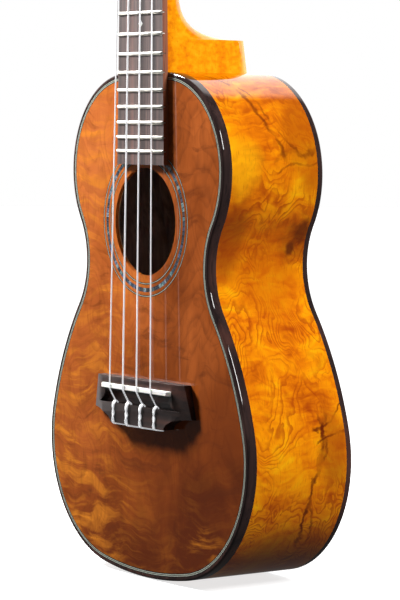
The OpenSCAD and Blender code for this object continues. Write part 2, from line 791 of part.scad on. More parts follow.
module button(k) {
  color([0.12, 0.08, 0.07]) placed() on_head() at_tuner(k) translate([0, gear_y, worm_z]) difference() {
    hull() {
      bar_x(2.8, shaft_end - 8, shaft_end - 7);
      for (s = [-1, 1]) translate([0, 0, s * (button_half - button_t / 2)])
        bar_x(button_t / 2 - 0.8, shaft_end - 4, shaft_end - 4 + button_len - 1);
      for (s = [-1, 1]) translate([0, 0, s * (button_half - button_t / 2)])
        bar_x(button_t / 2, shaft_end - 2.5, shaft_end - 3 + button_len - 3);
    }
    bar_x(worm_root_r, 0, shaft_end);
  }
}
module gear(k) {
  root_r = pitch_r - gear_root;
  color("goldenrod") placed() on_head() at_tuner(k) difference() {
    plate(gear_y - gear_w / 2, gear_y + gear_w / 2) union() {
      circle(root_r);
      for (i = [0:gear_teeth - 1]) rotate(360 * (i + 0.5) / gear_teeth - 90)
        polygon([[root_r - 0.3, -0.52], [pitch_r + gear_tip, -0.24], [pitch_r + gear_tip, 0.24], [root_r - 0.3, 0.52]]);
    }
    bar_y(stub_r, -big, big);
  }
}
module post(k) {
  color("silver") placed() on_head() at_tuner(k) difference() {
    union() {
      rotate([90, 0, 0]) rotate_extrude() polygon([
        [0, -gear_y + gear_w / 2], [post_r, -gear_y + gear_w / 2],
        [post_r, 11.4], [post_r - 0.5, 12], [0, 12]]);
      bar_y(stub_r, gear_y - gear_w / 2, gear_y + gear_w / 2);
    }
    translate([0, -9.6, 0]) bar_x(0.8, -big, big);
    bar_y(screw_r, gear_y + gear_w / 2 - 4, big);
  }
}
module gear_screw(k) {
  color("silver") placed() on_head() at_tuner(k) {
    bar_y(screw_r, gear_y + gear_w / 2 - 4, gear_y + gear_w / 2);
    bar_y(screw_head_r + 0.4, gear_y + gear_w / 2, gear_y + gear_w / 2 + 1.1);
  }
}
module worm_g() { worm(0); }
module worm_c() { worm(1); }
module worm_e() { worm(2); }
module worm_a() { worm(3); }
module button_g() { button(0); }
module button_c() { button(1); }
module button_e() { button(2); }
module button_a() { button(3); }
module post_g() { post(0); }
module post_c() { post(1); }
module post_e() { post(2); }
module post_a() { post(3); }
module gear_g() { gear(0); }
module gear_c() { gear(1); }
module gear_e() { gear(2); }
module gear_a() { gear(3); }
module gear_screw_g() { gear_screw(0); }
module gear_screw_c() { gear_screw(1); }
module gear_screw_e() { gear_screw(2); }
module gear_screw_a() { gear_screw(3); }

soundboard();
back_plate();
side_bass();
side_treble();
neck_block();
tail_block();
top_linings();
back_linings();
transverse_bars();
fan_braces();
bridge_plate();
soundhole_patch();
back_braces();
back_strip();
top_binding();
back_binding();
top_purfling();
rosette_lines();
rosette_shell();
neck();
neck_bolt();
neck_insert();
fretboard();
frets();
fret_markers();
side_dots();
headplate();
nut();
bridge();
saddle();
string_g();
string_c();
string_e();
string_a();
tuner_plates();
tuner_bushings();
tuner_screws();
worm_g();
worm_c();
worm_e();
worm_a();
button_g();
button_c();
button_e();
button_a();
post_g();
post_c();
post_e();
post_a();
gear_g();
gear_c();
gear_e();
gear_a();
gear_screw_g();
gear_screw_c();
gear_screw_e();
gear_screw_a();
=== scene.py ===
"""Concert ukulele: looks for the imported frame. Sizes are in millimetres until place() is called."""
import math
import bmesh
import bpy
from mathutils import Matrix, Vector


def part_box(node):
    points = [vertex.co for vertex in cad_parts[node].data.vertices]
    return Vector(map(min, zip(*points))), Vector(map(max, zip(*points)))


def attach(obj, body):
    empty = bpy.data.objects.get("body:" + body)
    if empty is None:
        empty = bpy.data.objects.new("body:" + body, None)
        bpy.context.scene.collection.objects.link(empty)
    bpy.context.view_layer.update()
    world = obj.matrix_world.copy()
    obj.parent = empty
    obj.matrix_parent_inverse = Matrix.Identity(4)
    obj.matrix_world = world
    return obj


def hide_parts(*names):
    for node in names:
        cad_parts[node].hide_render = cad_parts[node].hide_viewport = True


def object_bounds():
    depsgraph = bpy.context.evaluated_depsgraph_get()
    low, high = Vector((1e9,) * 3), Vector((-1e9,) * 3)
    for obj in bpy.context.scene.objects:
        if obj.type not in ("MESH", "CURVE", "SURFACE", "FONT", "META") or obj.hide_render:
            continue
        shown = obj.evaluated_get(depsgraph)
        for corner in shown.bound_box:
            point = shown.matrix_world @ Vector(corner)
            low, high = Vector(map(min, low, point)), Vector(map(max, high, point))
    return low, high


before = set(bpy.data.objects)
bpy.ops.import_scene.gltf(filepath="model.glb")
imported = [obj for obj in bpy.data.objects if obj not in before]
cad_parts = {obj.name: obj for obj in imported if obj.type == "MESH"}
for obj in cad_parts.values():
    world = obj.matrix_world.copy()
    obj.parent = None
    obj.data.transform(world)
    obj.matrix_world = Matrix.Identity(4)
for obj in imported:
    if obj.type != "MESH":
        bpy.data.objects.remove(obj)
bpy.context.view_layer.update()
BODY = "ukulele"
MM = 0.001
FACE_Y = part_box("soundboard")[0].y
NUT_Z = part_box("nut")[0].z


def place(x, y, z):
    """From the drawing's millimetres (soundboard face y = 0, nut z = 0) to the shared frame."""
    return Vector((x * MM, y * MM + FACE_Y, z * MM + NUT_Z))


# ---------- Sizes shared by the pieces, in millimetres ----------
SCALE = 381.0
JOINT_FRET = 14


def fret_z(n):
    return -SCALE * (1 - 2 ** (-n / 12))


def mix(a, b, t):
    return a + (b - a) * t


BODY_TOP = fret_z(JOINT_FRET)
BODY_LEN = 275.7
BODY_END = BODY_TOP - BODY_LEN
UPPER_W, UPPER_R = 147.4, 53.4
WAIST_W, WAIST_R = 118.8, 42.6
FLANK_R = 177.4
LOWER_W, LOWER_R, LOWER_RISE = 194.0, 68.1, 70.6
DEPTH_NECK, DEPTH_TAIL = 64.5, 69.5
BACK_T, SIDE_T = 2.0, 2.2
BIND_H, BACK_BIND_H = 5.5, 3.8
PURFLING_W = 2.0
HOLE_DROP = 80.7
HOLE_Z = BODY_TOP - HOLE_DROP
ROSETTE_R, LINE_W, BAND_W, SHELL_W = 33.3, 1.1, 1.7, 2.3
SHELL_R = ROSETTE_R + LINE_W + BAND_W
SHELL_BED, SHELL_PLAY, GLUE_LINE = 0.06, 0.1, 0.1
CHIP_COUNT, CHIP_SEED = 92, 7
COMPENSATION = 1.8
SADDLE_Z = -SCALE - COMPENSATION
BRIDGE_H, BRIDGE_LEN, BRIDGE_AHEAD = 7.0, 25.2, 5
BRIDGE_END = SADDLE_Z + BRIDGE_AHEAD - BRIDGE_LEN
TIE_BACK = 9.4
TIE_Z = SADDLE_Z - TIE_BACK
TIE_HOLE_Y = -4.2
SADDLE_H = 9.3
NUT_H, NUT_T, NUT_FALL = 4.8, 5.0, 0.9
HEAD_TILT = math.radians(12)
POST_X, POST_R = 24.0, 3.0
POSTS = {"g": (-1, 36), "c": (-1, 80), "e": (1, 80), "a": (1, 36)}
STRINGS = {"g": 0.75, "c": 0.95, "e": 0.85, "a": 0.7}
SADDLE_SPREAD, NUT_SPREAD = 40.0, 28.4
SHORT_TAIL, LONG_TAIL = 5.5, 11.8
COIL_TURNS, COIL_STEPS, COIL_GAP, COIL_RISE, COIL_Y = 2.5, 24, 0.14, 1.08, -7.6
PURFLING_DEEP = 1.0
EDGE_ROUND = 1.2
BACK_TILT = math.atan((DEPTH_TAIL - DEPTH_NECK) / BODY_LEN)


def back_y(z, inward=0.0):
    """Depth of the back's sloping plane, or of a plane that lies inward of it."""
    return DEPTH_NECK + (BODY_TOP - z) * math.tan(BACK_TILT) - inward / math.cos(BACK_TILT)


def head_point(x, y, z):
    """From the headstock's own tilted axes to the drawing's."""
    c, s = math.cos(HEAD_TILT), math.sin(HEAD_TILT)
    return (x, y * c + z * s, NUT_T - y * s + z * c)


# ---------- The body's outline ----------
def body_arcs():
    """Centre, radius, side of the wood and end angles of each arc of the treble half."""
    upper = Vector((UPPER_W / 2 - UPPER_R, BODY_TOP - UPPER_R))
    lower = Vector((LOWER_W / 2 - LOWER_R, BODY_END + LOWER_RISE))
    waist_x = WAIST_W / 2 + WAIST_R
    drop = math.sqrt((UPPER_R + WAIST_R) ** 2 - (waist_x - upper.x) ** 2)
    waist = Vector((waist_x, upper.y - drop))
    near, far = WAIST_R + FLANK_R, FLANK_R - LOWER_R
    gap = (lower - waist).length
    along = (near * near - far * far + gap * gap) / (2 * gap)
    across = math.sqrt(near * near - along * along)
    u = (lower - waist) / gap
    flank = waist + u * along + Vector((u.y, -u.x)) * across
    tail_r = (lower.x ** 2 + LOWER_RISE ** 2 - LOWER_R ** 2) / (2 * (LOWER_RISE - LOWER_R))
    tail = Vector((0, BODY_END + tail_r))

    def heading(a, b):
        return math.atan2(b.y - a.y, b.x - a.x)

    a1, a2 = heading(upper, waist), heading(flank, waist)
    a3, a4 = heading(flank, lower), heading(tail, lower)
    return [(upper, UPPER_R, 1, math.pi / 2, a1), (waist, WAIST_R, -1, a1 + math.pi, a2 + math.pi),
            (flank, FLANK_R, 1, a2, a3), (lower, LOWER_R, 1, a3, a4), (tail, tail_r, 1, a4, -math.pi / 2)]


def half_outline(spacing=2.5):
    """Points down the treble side from the neck joint to the tail: place, outward normal, length run."""
    points = []
    arcs = body_arcs()
    flat_end = arcs[0][0].x
    flat_n = 8
    for i in range(flat_n):
        points.append((Vector((flat_end * i / flat_n, BODY_TOP)), Vector((0, 1))))
    for k, (centre, radius, side, start, end) in enumerate(arcs):
        n = max(4, round(abs(end - start) * radius / spacing))
        for i in range(0 if k == 0 else 1, n + 1):
            a = mix(start, end, i / n)
            out = Vector((math.cos(a), math.sin(a)))
            points.append((centre + out * radius, out * side))
    run, rows = 0.0, []
    for i, (p, out) in enumerate(points):
        run += (p - points[i - 1][0]).length if i else 0
        rows.append((p, out, run))
    return rows


HALF = half_outline()
HALF_RUN = HALF[-1][2]


def full_outline():
    """The whole outline, clockwise from the neck joint."""
    left = [(Vector((-p.x, p.y)), Vector((-n.x, n.y)), 2 * HALF_RUN - s) for p, n, s in HALF[1:-1]]
    return HALF + left[::-1]


# ---------- Making pieces ----------
def finish_mesh(mesh, sharp=35.0):
    """Outward faces and smooth shading, with the real edges kept sharp."""
    bm = bmesh.new()
    bm.from_mesh(mesh)
    bmesh.ops.recalc_face_normals(bm, faces=bm.faces)
    bm.to_mesh(mesh)
    bm.free()
    mesh.shade_smooth()
    mesh.set_sharp_from_angle(angle=math.radians(sharp))


def add_piece(name, mesh, material, replaces=(), body=BODY):
    """A piece in its place, riding on a body and standing for the CAD nodes it replaces."""
    obj = bpy.data.objects.new(name, mesh)
    bpy.context.scene.collection.objects.link(obj)
    mesh.materials.clear()
    mesh.materials.append(material)
    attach(obj, body)
    if replaces:
        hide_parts(*replaces)
    return obj


def mesh_from(name, verts, faces, uvs=None):
    """A mesh from points in the drawing's millimetres, with the grain's own coordinates where given."""
    mesh = bpy.data.meshes.new(name)
    mesh.from_pydata([place(*v) for v in verts], [], faces)
    if uvs:
        layer = mesh.uv_layers.new(name="grain")
        for loop in mesh.loops:
            layer.data[loop.index].uv = uvs[loop.vertex_index]
    finish_mesh(mesh)
    return mesh


def swept_ring(name, profile):
    """A closed section carried round the whole outline. The profile gives (inset, depth, across)."""
    rows, m = full_outline(), len(profile)
    verts, uvs, faces = [], [], []
    for p, out, run in rows:
        for inset, depth, across in profile:
            q = p - out * inset
            y = depth if not callable(depth) else depth(q.y)
            verts.append((q.x, y, q.y))
            uvs.append((run * MM, across))
    for i in range(len(rows)):
        k = (i + 1) % len(rows)
        for j in range(m):
            faces.append((i * m + j, k * m + j, k * m + (j + 1) % m, i * m + (j + 1) % m))
    return mesh_from(name, verts, faces, uvs)


def on_back(inward):
    """A depth that follows the back's slope, a set distance inward of it."""
    return lambda z: back_y(z, inward)


def swept_half(name, side, profile):
    """A closed section carried down one half of the outline, with capped ends."""
    m = len(profile)
    verts, uvs, faces = [], [], []
    for p, out, run in HALF:
        for inset, depth in profile:
            q = p - out * inset
            y = depth if not callable(depth) else depth(q.y)
            verts.append((side * q.x, y, q.y))
            uvs.append((run * MM, y * MM))
    for i in range(len(HALF) - 1):
        for j in range(m):
            faces.append((i * m + j, (i + 1) * m + j, (i + 1) * m + (j + 1) % m, i * m + (j + 1) % m))
    last = (len(HALF) - 1) * m
    faces += [tuple(range(m)), tuple(range(last, last + m))]
    return mesh_from(name, verts, faces, uvs)


def board_mesh(name, inset, front, back):
    """A board of the body's outline. The functions front and back give its two faces' depths."""
    outline = [p - out * inset for p, out, _ in full_outline()]
    bm = bmesh.new()
    rings = []
    for depth in (front, back):
        ring = [bm.verts.new(place(q.x, depth(q.y), q.y)) for q in outline]
        rim = [bm.edges.new((ring[i], ring[(i + 1) % len(ring)])) for i in range(len(ring))]
        bmesh.ops.triangle_fill(bm, use_beauty=True, use_dissolve=False, edges=rim)
        rings.append(ring)
    near, far = rings
    for i in range(len(near)):
        k = (i + 1) % len(near)
        bm.faces.new((near[i], near[k], far[k], far[i]))
    mesh = bpy.data.meshes.new(name)
    bm.to_mesh(mesh)
    bm.free()
    finish_mesh(mesh)
    return mesh


MERGE_DISTANCE = 2e-6
FLAT_ANGLE = 0.6


def polished(node, material, bevel=0.25, segments=2, body=BODY, sharp=32.0, name=None):
    """A CAD piece with its edges eased and its round faces shaded smooth."""
    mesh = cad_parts[node].data.copy()
    mesh.name = name or node + "_finished"
    for layer in list(mesh.uv_layers):
        mesh.uv_layers.remove(layer)
    bm = bmesh.new()
    bm.from_mesh(mesh)
    bmesh.ops.remove_doubles(bm, verts=bm.verts, dist=MERGE_DISTANCE)
    bmesh.ops.dissolve_limit(bm, angle_limit=math.radians(FLAT_ANGLE), verts=bm.verts, edges=bm.edges)
    bm.to_mesh(mesh)
    bm.free()
    mesh.shade_smooth()
    mesh.set_sharp_from_angle(angle=math.radians(sharp))
    obj = add_piece(mesh.name, mesh, material, (node,), body)
    if bevel:
        eased = obj.modifiers.new("eased_edges", "BEVEL")
        eased.width = bevel * MM
        eased.segments = segments
        eased.limit_method = "ANGLE"
        eased.angle_limit = math.radians(sharp)
        eased.harden_normals = True
        eased.use_clamp_overlap = True
    return obj


# ---------- Materials ----------
def node(tree, kind, inputs=None, **props):
    """A node with its properties set and its inputs linked or given."""
    made = tree.nodes.new(kind)
    for key, value in props.items():
        setattr(made, key, value)
    for key, value in (inputs or {}).items():
        socket = made.inputs[key]
        if isinstance(value, bpy.types.NodeSocket):
            tree.links.new(value, socket)
        else:
            socket.default_value = value
    return made


def new_material(name, **settings):
    """A material whose constant settings go on the shader's own sockets."""
    mat = bpy.data.materials.new(name)
    mat.use_nodes = True
    tree = mat.node_tree
    shader = tree.nodes["Principled BSDF"]
    for key, value in settings.items():
        shader.inputs[key.replace("_", " ")].default_value = value
    return mat, tree, shader


def coords(tree, kind="Object", scale=(1, 1, 1), move=(0, 0, 0)):
    source = node(tree, "ShaderNodeTexCoord").outputs[kind]
    placed = node(tree, "ShaderNodeMapping", {"Vector": source, "Scale": scale, "Location": move})
    return placed.outputs["Vector"]


def leaned(tree, vector, scale, turn):
    """Coordinates stretched and turned, for a figure that lies at a slant."""
    return node(tree, "ShaderNodeMapping", {"Vector": vector, "Scale": scale, "Rotation": turn}).outputs[0]


def noise(tree, vector, scale=1.0, detail=2.0, rough=0.5, distort=0.0):
    return node(tree, "ShaderNodeTexNoise", {"Vector": vector, "Scale": scale, "Detail": detail,
                                             "Roughness": rough, "Distortion": distort})


def maths(tree, operation, a, b=0.0, clamp=False):
    made = node(tree, "ShaderNodeMath", {0: a, 1: b}, operation=operation)
    made.use_clamp = clamp
    return made.outputs[0]


def span(tree, value, low, high, to_low=0.0, to_high=1.0, kind="SMOOTHSTEP"):
    made = node(tree, "ShaderNodeMapRange", {"Value": value, "From Min": low, "From Max": high,
                                             "To Min": to_low, "To Max": to_high}, interpolation_type=kind)
    return made.outputs["Result"]


def blend(tree, factor, a, b):
    made = node(tree, "ShaderNodeMix", data_type="RGBA", blend_type="MIX")
    for index, value in ((0, factor), (6, a), (7, b)):
        if isinstance(value, bpy.types.NodeSocket):
            tree.links.new(value, made.inputs[index])
        else:
            made.inputs[index].default_value = value if index == 0 else (*value, 1.0)
    return made.outputs[2]


def ramp(tree, factor, stops, kind="LINEAR"):
    made = node(tree, "ShaderNodeValToRGB", {"Fac": factor})
    made.color_ramp.interpolation = kind
    elements = made.color_ramp.elements
    while len(elements) < len(stops):
        elements.new(0.5)
    for element, (at, colour) in zip(elements, stops):
        element.position = at
        element.color = (*colour, 1.0)
    return made.outputs["Color"]


def paint(tree, shader, colour):
    tree.links.new(colour, shader.inputs["Base Color"])


def bump(tree, shader, height, strength, distance=0.0002):
    made = node(tree, "ShaderNodeBump", {"Height": height, "Strength": strength, "Distance": distance})
    tree.links.new(made.outputs["Normal"], shader.inputs["Normal"])


def warped(tree, vector, amount, scale):
    """Moves a pattern's coordinates about, so that its lines wander."""
    drift = noise(tree, vector, scale, 2.0).outputs["Color"]
    centred = node(tree, "ShaderNodeVectorMath", {0: drift, 1: (0.5, 0.5, 0.5)}, operation="SUBTRACT")
    scaled = node(tree, "ShaderNodeVectorMath", {0: centred.outputs[0], "Scale": amount}, operation="SCALE")
    return node(tree, "ShaderNodeVectorMath", {0: vector, 1: scaled.outputs[0]}, operation="ADD").outputs[0]


def growth_lines(tree, field, count, fade=0.35):
    """Growth rings cut by a saw: a dark edge at each even step of a smooth field, fading to one side."""
    part = maths(tree, "FRACT", maths(tree, "MULTIPLY", field, count))
    return maths(tree, "MAXIMUM", span(tree, part, 0.0, fade, 1.0, 0.0), span(tree, part, 0.9, 1.0))


def spot(tree, across, along, centre, size, ragged=0.35, scale=60.0):
    """A soft-edged patch: centre and size in millimetres, its edge made ragged by noise."""
    dx = maths(tree, "MULTIPLY", maths(tree, "SUBTRACT", across, centre[0] * MM), 1 / (size[0] * MM))
    dy = maths(tree, "MULTIPLY", maths(tree, "SUBTRACT", along, centre[1] * MM), 1 / (size[1] * MM))
    both = node(tree, "ShaderNodeCombineXYZ", {0: dx, 1: dy}).outputs[0]
    far = node(tree, "ShaderNodeVectorMath", {0: both}, operation="LENGTH").outputs["Value"]
    where = node(tree, "ShaderNodeCombineXYZ", {0: across, 1: along}).outputs[0]
    edge = noise(tree, where, scale, 3.0).outputs["Fac"]
    far = maths(tree, "ADD", far, maths(tree, "MULTIPLY", maths(tree, "SUBTRACT", edge, 0.5), 2 * ragged))
    return span(tree, far, 0.4, 1.0, 1.0, 0.0)


COURSE_RANGE = 400


def vein(tree, along, across, course, width, wander, scale):
    """A dark vein that follows a given course; course and width are in millimetres."""
    start, end = course[0][0], course[-1][0]
    t = span(tree, along, start * MM, end * MM, kind="LINEAR")
    curve = node(tree, "ShaderNodeFloatCurve", {"Value": t})
    points = curve.mapping.curves[0].points
    while len(points) < len(course):
        points.new(0.5, 0.5)
    for point, (a, c) in zip(points, course):
        point.location = ((a - start) / (end - start), c / COURSE_RANGE)
    curve.mapping.update()
    where = node(tree, "ShaderNodeCombineXYZ", {0: along, 1: across}).outputs[0]
    drift = maths(tree, "SUBTRACT", noise(tree, where, scale, 3.0, 0.6).outputs["Fac"], 0.5)
    line = maths(tree, "ADD", maths(tree, "MULTIPLY", curve.outputs[0], COURSE_RANGE * MM),
                 maths(tree, "MULTIPLY", drift, wander * MM))
    gap = maths(tree, "ABSOLUTE", maths(tree, "SUBTRACT", across, line))
    body = span(tree, gap, 0.2 * width * MM, width * MM, 1.0, 0.0)
    thin = span(tree, noise(tree, where, scale * 0.7, 2.0).outputs["Fac"], 0.35, 0.6, 0.25, 1.0)
    ends = maths(tree, "MULTIPLY", span(tree, t, 0.0, 0.08), span(tree, t, 0.9, 1.0, 1.0, 0.0))
    return maths(tree, "MULTIPLY", maths(tree, "MULTIPLY", body, thin), ends)


def lacquer(**extra):
    """Settings of a clear gloss coat over wood; extra ones are added or take their place."""
    return dict(dict(Roughness=0.4, Specular_IOR_Level=0.0, Coat_Weight=1.0, Coat_Roughness=0.03,
                     Coat_IOR=1.5), **extra)


def axes_of(tree, vector):
    return node(tree, "ShaderNodeSeparateXYZ", {0: vector}).outputs


ARCH_X = 50


def top_wood():
    """Figured top: amber on the bass side, red-brown on the treble, with curly flames and arches. The bass
    side's lightness is partly wood tone and partly painted light from the left; the tone is raised towards
    the neck by painted light and lowered towards the tail by painted shade.
    """
    mat, tree, shader = new_material("figured_top", **lacquer())
    plain = coords(tree, move=(0, 0, -NUT_Z))
    x, _, z = axes_of(tree, plain)
    cloud = noise(tree, warped(tree, coords(tree, scale=(15, 1, 12)), 0.9, 0.9), 1.0, 4.0, 0.6).outputs["Fac"]
    # Lighter on the bass side: partly the wood's own tone, partly painted light from the left
    bass = span(tree, x, -0.085, 0.04, 1.0, 0.0)
    # Painted light: the tone rises towards the neck, where the top light falls strongest
    high = span(tree, z, -0.46, -0.22)
    tone = maths(tree, "ADD", maths(tree, "MULTIPLY", bass, 0.2), maths(tree, "MULTIPLY", high, 0.2))
    tone = maths(tree, "ADD", tone, maths(tree, "MULTIPLY", cloud, 0.75))
    # Painted shade: the tone falls towards the tail
    tone = maths(tree, "SUBTRACT", tone, span(tree, z, -0.50, -0.36, 0.16, 0.0))
    base = ramp(tree, tone, [(0.24, (0.11, 0.02, 0.004)), (0.42, (0.24, 0.05, 0.007)),
                             (0.62, (0.42, 0.1, 0.018)), (0.95, (0.62, 0.18, 0.045))])
    bent = warped(tree, plain, 0.035, 22.0)
    leaning = leaned(tree, bent, (24, 1, 120), (0, 0.28, 0))
    coarse = noise(tree, leaning, 1.0, 4.0, 0.62, 0.5).outputs["Fac"]
    finer = leaned(tree, bent, (60, 1, 330), (0, 0.5, 0))
    fine = noise(tree, finer, 1.0, 3.0, 0.6, 0.4).outputs["Fac"]
    flame = maths(tree, "ADD", maths(tree, "MULTIPLY", span(tree, coarse, 0.46, 0.66), 0.8),
                  maths(tree, "MULTIPLY", span(tree, fine, 0.5, 0.7), 0.35))
    patchy = span(tree, noise(tree, plain, 24.0, 2.0).outputs["Fac"], 0.34, 0.58)
    low = span(tree, z, -0.47, -0.39, 0.15, 0.0)
    # Flames stronger on the bass side: partly the wood's figure, partly painted light from the left
    gold = maths(tree, "MAXIMUM", bass, spot(tree, x, z, (60, -462), (24, 12)))
    gold = maths(tree, "MAXIMUM", maths(tree, "MULTIPLY", gold, 0.75), low)
    gold = maths(tree, "MULTIPLY", gold, flame)
    gold = maths(tree, "MULTIPLY", gold, maths(tree, "MULTIPLY_ADD", patchy, 0.7), True)
    base = blend(tree, gold, base, (0.7, 0.225, 0.018))
    dark = span(tree, coarse, 0.3, 0.44, 0.5, 0.0)
    base = blend(tree, dark, base, (0.1, 0.02, 0.005))
    aside = maths(tree, "ABSOLUTE", maths(tree, "SUBTRACT", x, ARCH_X * MM))
    arch = maths(tree, "POWER", maths(tree, "MULTIPLY", aside, 48.0), 1.4)
    arch = maths(tree, "ADD", arch, maths(tree, "MULTIPLY", z, 34.0))
    wander = noise(tree, plain, 30.0, 2.0).outputs["Fac"]
    arch = maths(tree, "ADD", arch, maths(tree, "MULTIPLY", wander, 2.2))
    arches = growth_lines(tree, arch, 1.7, 0.45)
    right = maths(tree, "MULTIPLY", span(tree, x, 0.0, 0.035), span(tree, z, -0.40, -0.33))
    wandering = warped(tree, coords(tree, scale=(20, 1, 14)), 0.9, 1.4)
    swirl = noise(tree, wandering, 1.0, 2.0, 0.5, 0.6).outputs["Fac"]
    swirls = growth_lines(tree, swirl, 17.0, 0.5)
    lines = maths(tree, "ADD", maths(tree, "MULTIPLY", arches, maths(tree, "MULTIPLY", right, 0.25)),
                  maths(tree, "MULTIPLY", swirls, 0.18))
    base = blend(tree, lines, base, (0.09, 0.018, 0.004))
    pores = noise(tree, coords(tree, scale=(1500, 300, 140)), 1.0, 2.0).outputs["Fac"]
    base = blend(tree, span(tree, pores, 0.56, 0.75, 0.0, 0.22), base, (0.08, 0.02, 0.005))
    paint(tree, shader, base)
    bump(tree, shader, pores, 0.03)
    return mat


SIDE_LEAN = (0, 0, 0.5)
# Centre and size as length run and depth in millimetres, then tint and strength
SIDE_PATCHES = (
    ((262, 56), (30, 13), (0.34, 0.06, 0.001), 0.65),
    ((84, 58), (38, 24), (0.46, 0.1, 0.0), 0.8),
    ((330, 40), (34, 40), (0.36, 0.07, 0.001), 0.6),
    ((100, 12), (22, 16), (1.0, 0.5, 0.004), 0.5))
SIDE_KNOTS = (((138, 59), (9, 7), 0.75), ((147, 53), (6, 4), 0.9), ((143, 56), (17, 13), 0.45))
# Whether it runs across the depth, its course in millimetres, width, wander and strength
SIDE_VEINS = (
    (False, [(30, 12), (52, 25), (71, 29), (82, 35), (100, 42)], 2.2, 7.0, 0.7),
    (False, [(34, 19), (58, 31), (76, 36), (90, 46), (98, 52)], 1.2, 8.0, 0.6),
    (True, [(32, 99), (44, 92), (56, 94), (69, 84)], 2.0, 7.0, 0.7),
    (True, [(34, 106), (46, 99), (58, 100), (69, 92)], 1.2, 7.0, 0.6),
    (False, [(238, 53), (252, 50), (264, 47), (276, 44), (298, 42), (322, 46)], 1.8, 8.0, 0.95),
    (False, [(240, 47), (250, 51), (262, 50), (272, 46)], 1.6, 10.0, 0.9),
    (True, [(42, 250), (50, 249), (58, 243), (69, 230)], 1.4, 9.0, 0.9),
    (True, [(44, 258), (52, 254), (60, 252), (69, 250)], 1.0, 7.0, 0.8),
    (False, [(284, 40), (300, 47), (316, 50), (334, 44)], 1.3, 9.0, 0.8))


def side_wood():
    """Sides: bright amber burl with wandering growth lines, a red patch, a knot and smoky veins."""
    mat, tree, shader = new_material("figured_side", **lacquer())
    uv = coords(tree, "UV")
    run, depth, _ = axes_of(tree, uv)
    bent = warped(tree, uv, 0.022, 34.0)
    cloud = noise(tree, leaned(tree, bent, (20, 30, 1), (0, 0, 0)), 1.0, 4.0, 0.6).outputs["Fac"]
    curl = noise(tree, leaned(tree, bent, (170, 60, 1), SIDE_LEAN), 1.0, 3.0, 0.6, 0.6).outputs["Fac"]
    mottle = maths(tree, "ADD", maths(tree, "MULTIPLY", cloud, 0.62), maths(tree, "MULTIPLY", curl, 0.38))
    base = ramp(tree, mottle, [
        (0.36, (0.46, 0.075, 0.0)), (0.46, (0.76, 0.185, 0.0)), (0.55, (0.94, 0.31, 0.0)),
        (0.66, (1.0, 0.48, 0.002))])
    wide = leaned(tree, uv, (17, 26, 1), SIDE_LEAN)
    field = noise(tree, warped(tree, wide, 0.6, 1.6), 1.0, 3.0, 0.5, 0.5).outputs["Fac"]
    ripple = noise(tree, uv, 320.0, 2.0).outputs["Fac"]
    field = maths(tree, "ADD", field, maths(tree, "MULTIPLY", ripple, 0.02))
    lines = growth_lines(tree, field, 26.0, 0.5)
    mask = span(tree, noise(tree, uv, 28.0, 2.0).outputs["Fac"], 0.4, 0.6, 0.05, 0.62)
    base = blend(tree, maths(tree, "MULTIPLY", lines, mask), base, (0.34, 0.03, 0.0))
    patch = spot(tree, run, depth, (141, 10), (30, 17), 0.25)
    base = blend(tree, maths(tree, "MULTIPLY", patch, 0.75), base, (0.3, 0.045, 0.001))
    patch = spot(tree, run, depth, (160, 36), (40, 28), 0.3, 40.0)
    base = blend(tree, maths(tree, "MULTIPLY", patch, 0.5), base, (0.52, 0.09, 0.0))
    for centre, size, tint, strength in SIDE_PATCHES:
        patch = spot(tree, run, depth, centre, size, 0.45, 50.0)
        base = blend(tree, maths(tree, "MULTIPLY", patch, strength), base, tint)
    for centre, size, strength in SIDE_KNOTS:
        knot = spot(tree, run, depth, centre, size, 0.45, 150.0)
        base = blend(tree, maths(tree, "MULTIPLY", knot, strength), base, (0.13, 0.022, 0.002))
    for crosswise, course, width, wander, strength in SIDE_VEINS:
        pair = (depth, run) if crosswise else (run, depth)
        one = vein(tree, *pair, course, width, wander, 130.0)
        base = blend(tree, maths(tree, "MULTIPLY", one, strength), base, (0.13, 0.014, 0.0))
    pores = noise(tree, coords(tree, "UV", scale=(220, 1400, 1)), 1.0, 2.0).outputs["Fac"]
    base = blend(tree, span(tree, pores, 0.55, 0.75, 0.0, 0.35), base, (0.34, 0.05, 0.0))
    paint(tree, shader, base)
    bump(tree, shader, pores, 0.02)
    return mat


def back_wood():
    """Back: the sides' amber wood, quieter, with long growth lines."""
    mat, tree, shader = new_material("figured_back", **lacquer())
    wide = coords(tree, scale=(12, 1, 8), move=(0.3, 0, 2.2))
    cloud = noise(tree, warped(tree, wide, 0.8, 1.0), 1.0, 4.0, 0.6).outputs["Fac"]
    base = ramp(tree, cloud, [(0.3, (0.33, 0.06, 0.004)), (0.5, (0.62, 0.15, 0.005)),
                              (0.7, (0.9, 0.36, 0.02))])
    wandering = warped(tree, coords(tree, scale=(24, 1, 7)), 0.5, 1.6)
    field = noise(tree, wandering, 1.0, 2.0, 0.5, 0.4).outputs["Fac"]
    lines = growth_lines(tree, field, 16.0)
    base = blend(tree, maths(tree, "MULTIPLY", lines, 0.5), base, (0.22, 0.035, 0.003))
    pores = noise(tree, coords(tree, scale=(1800, 300, 160)), 1.0, 2.0).outputs["Fac"]
    base = blend(tree, span(tree, pores, 0.6, 0.75, 0.0, 0.25), base, (0.15, 0.03, 0.003))
    paint(tree, shader, base)
    bump(tree, shader, pores, 0.04)
    return mat


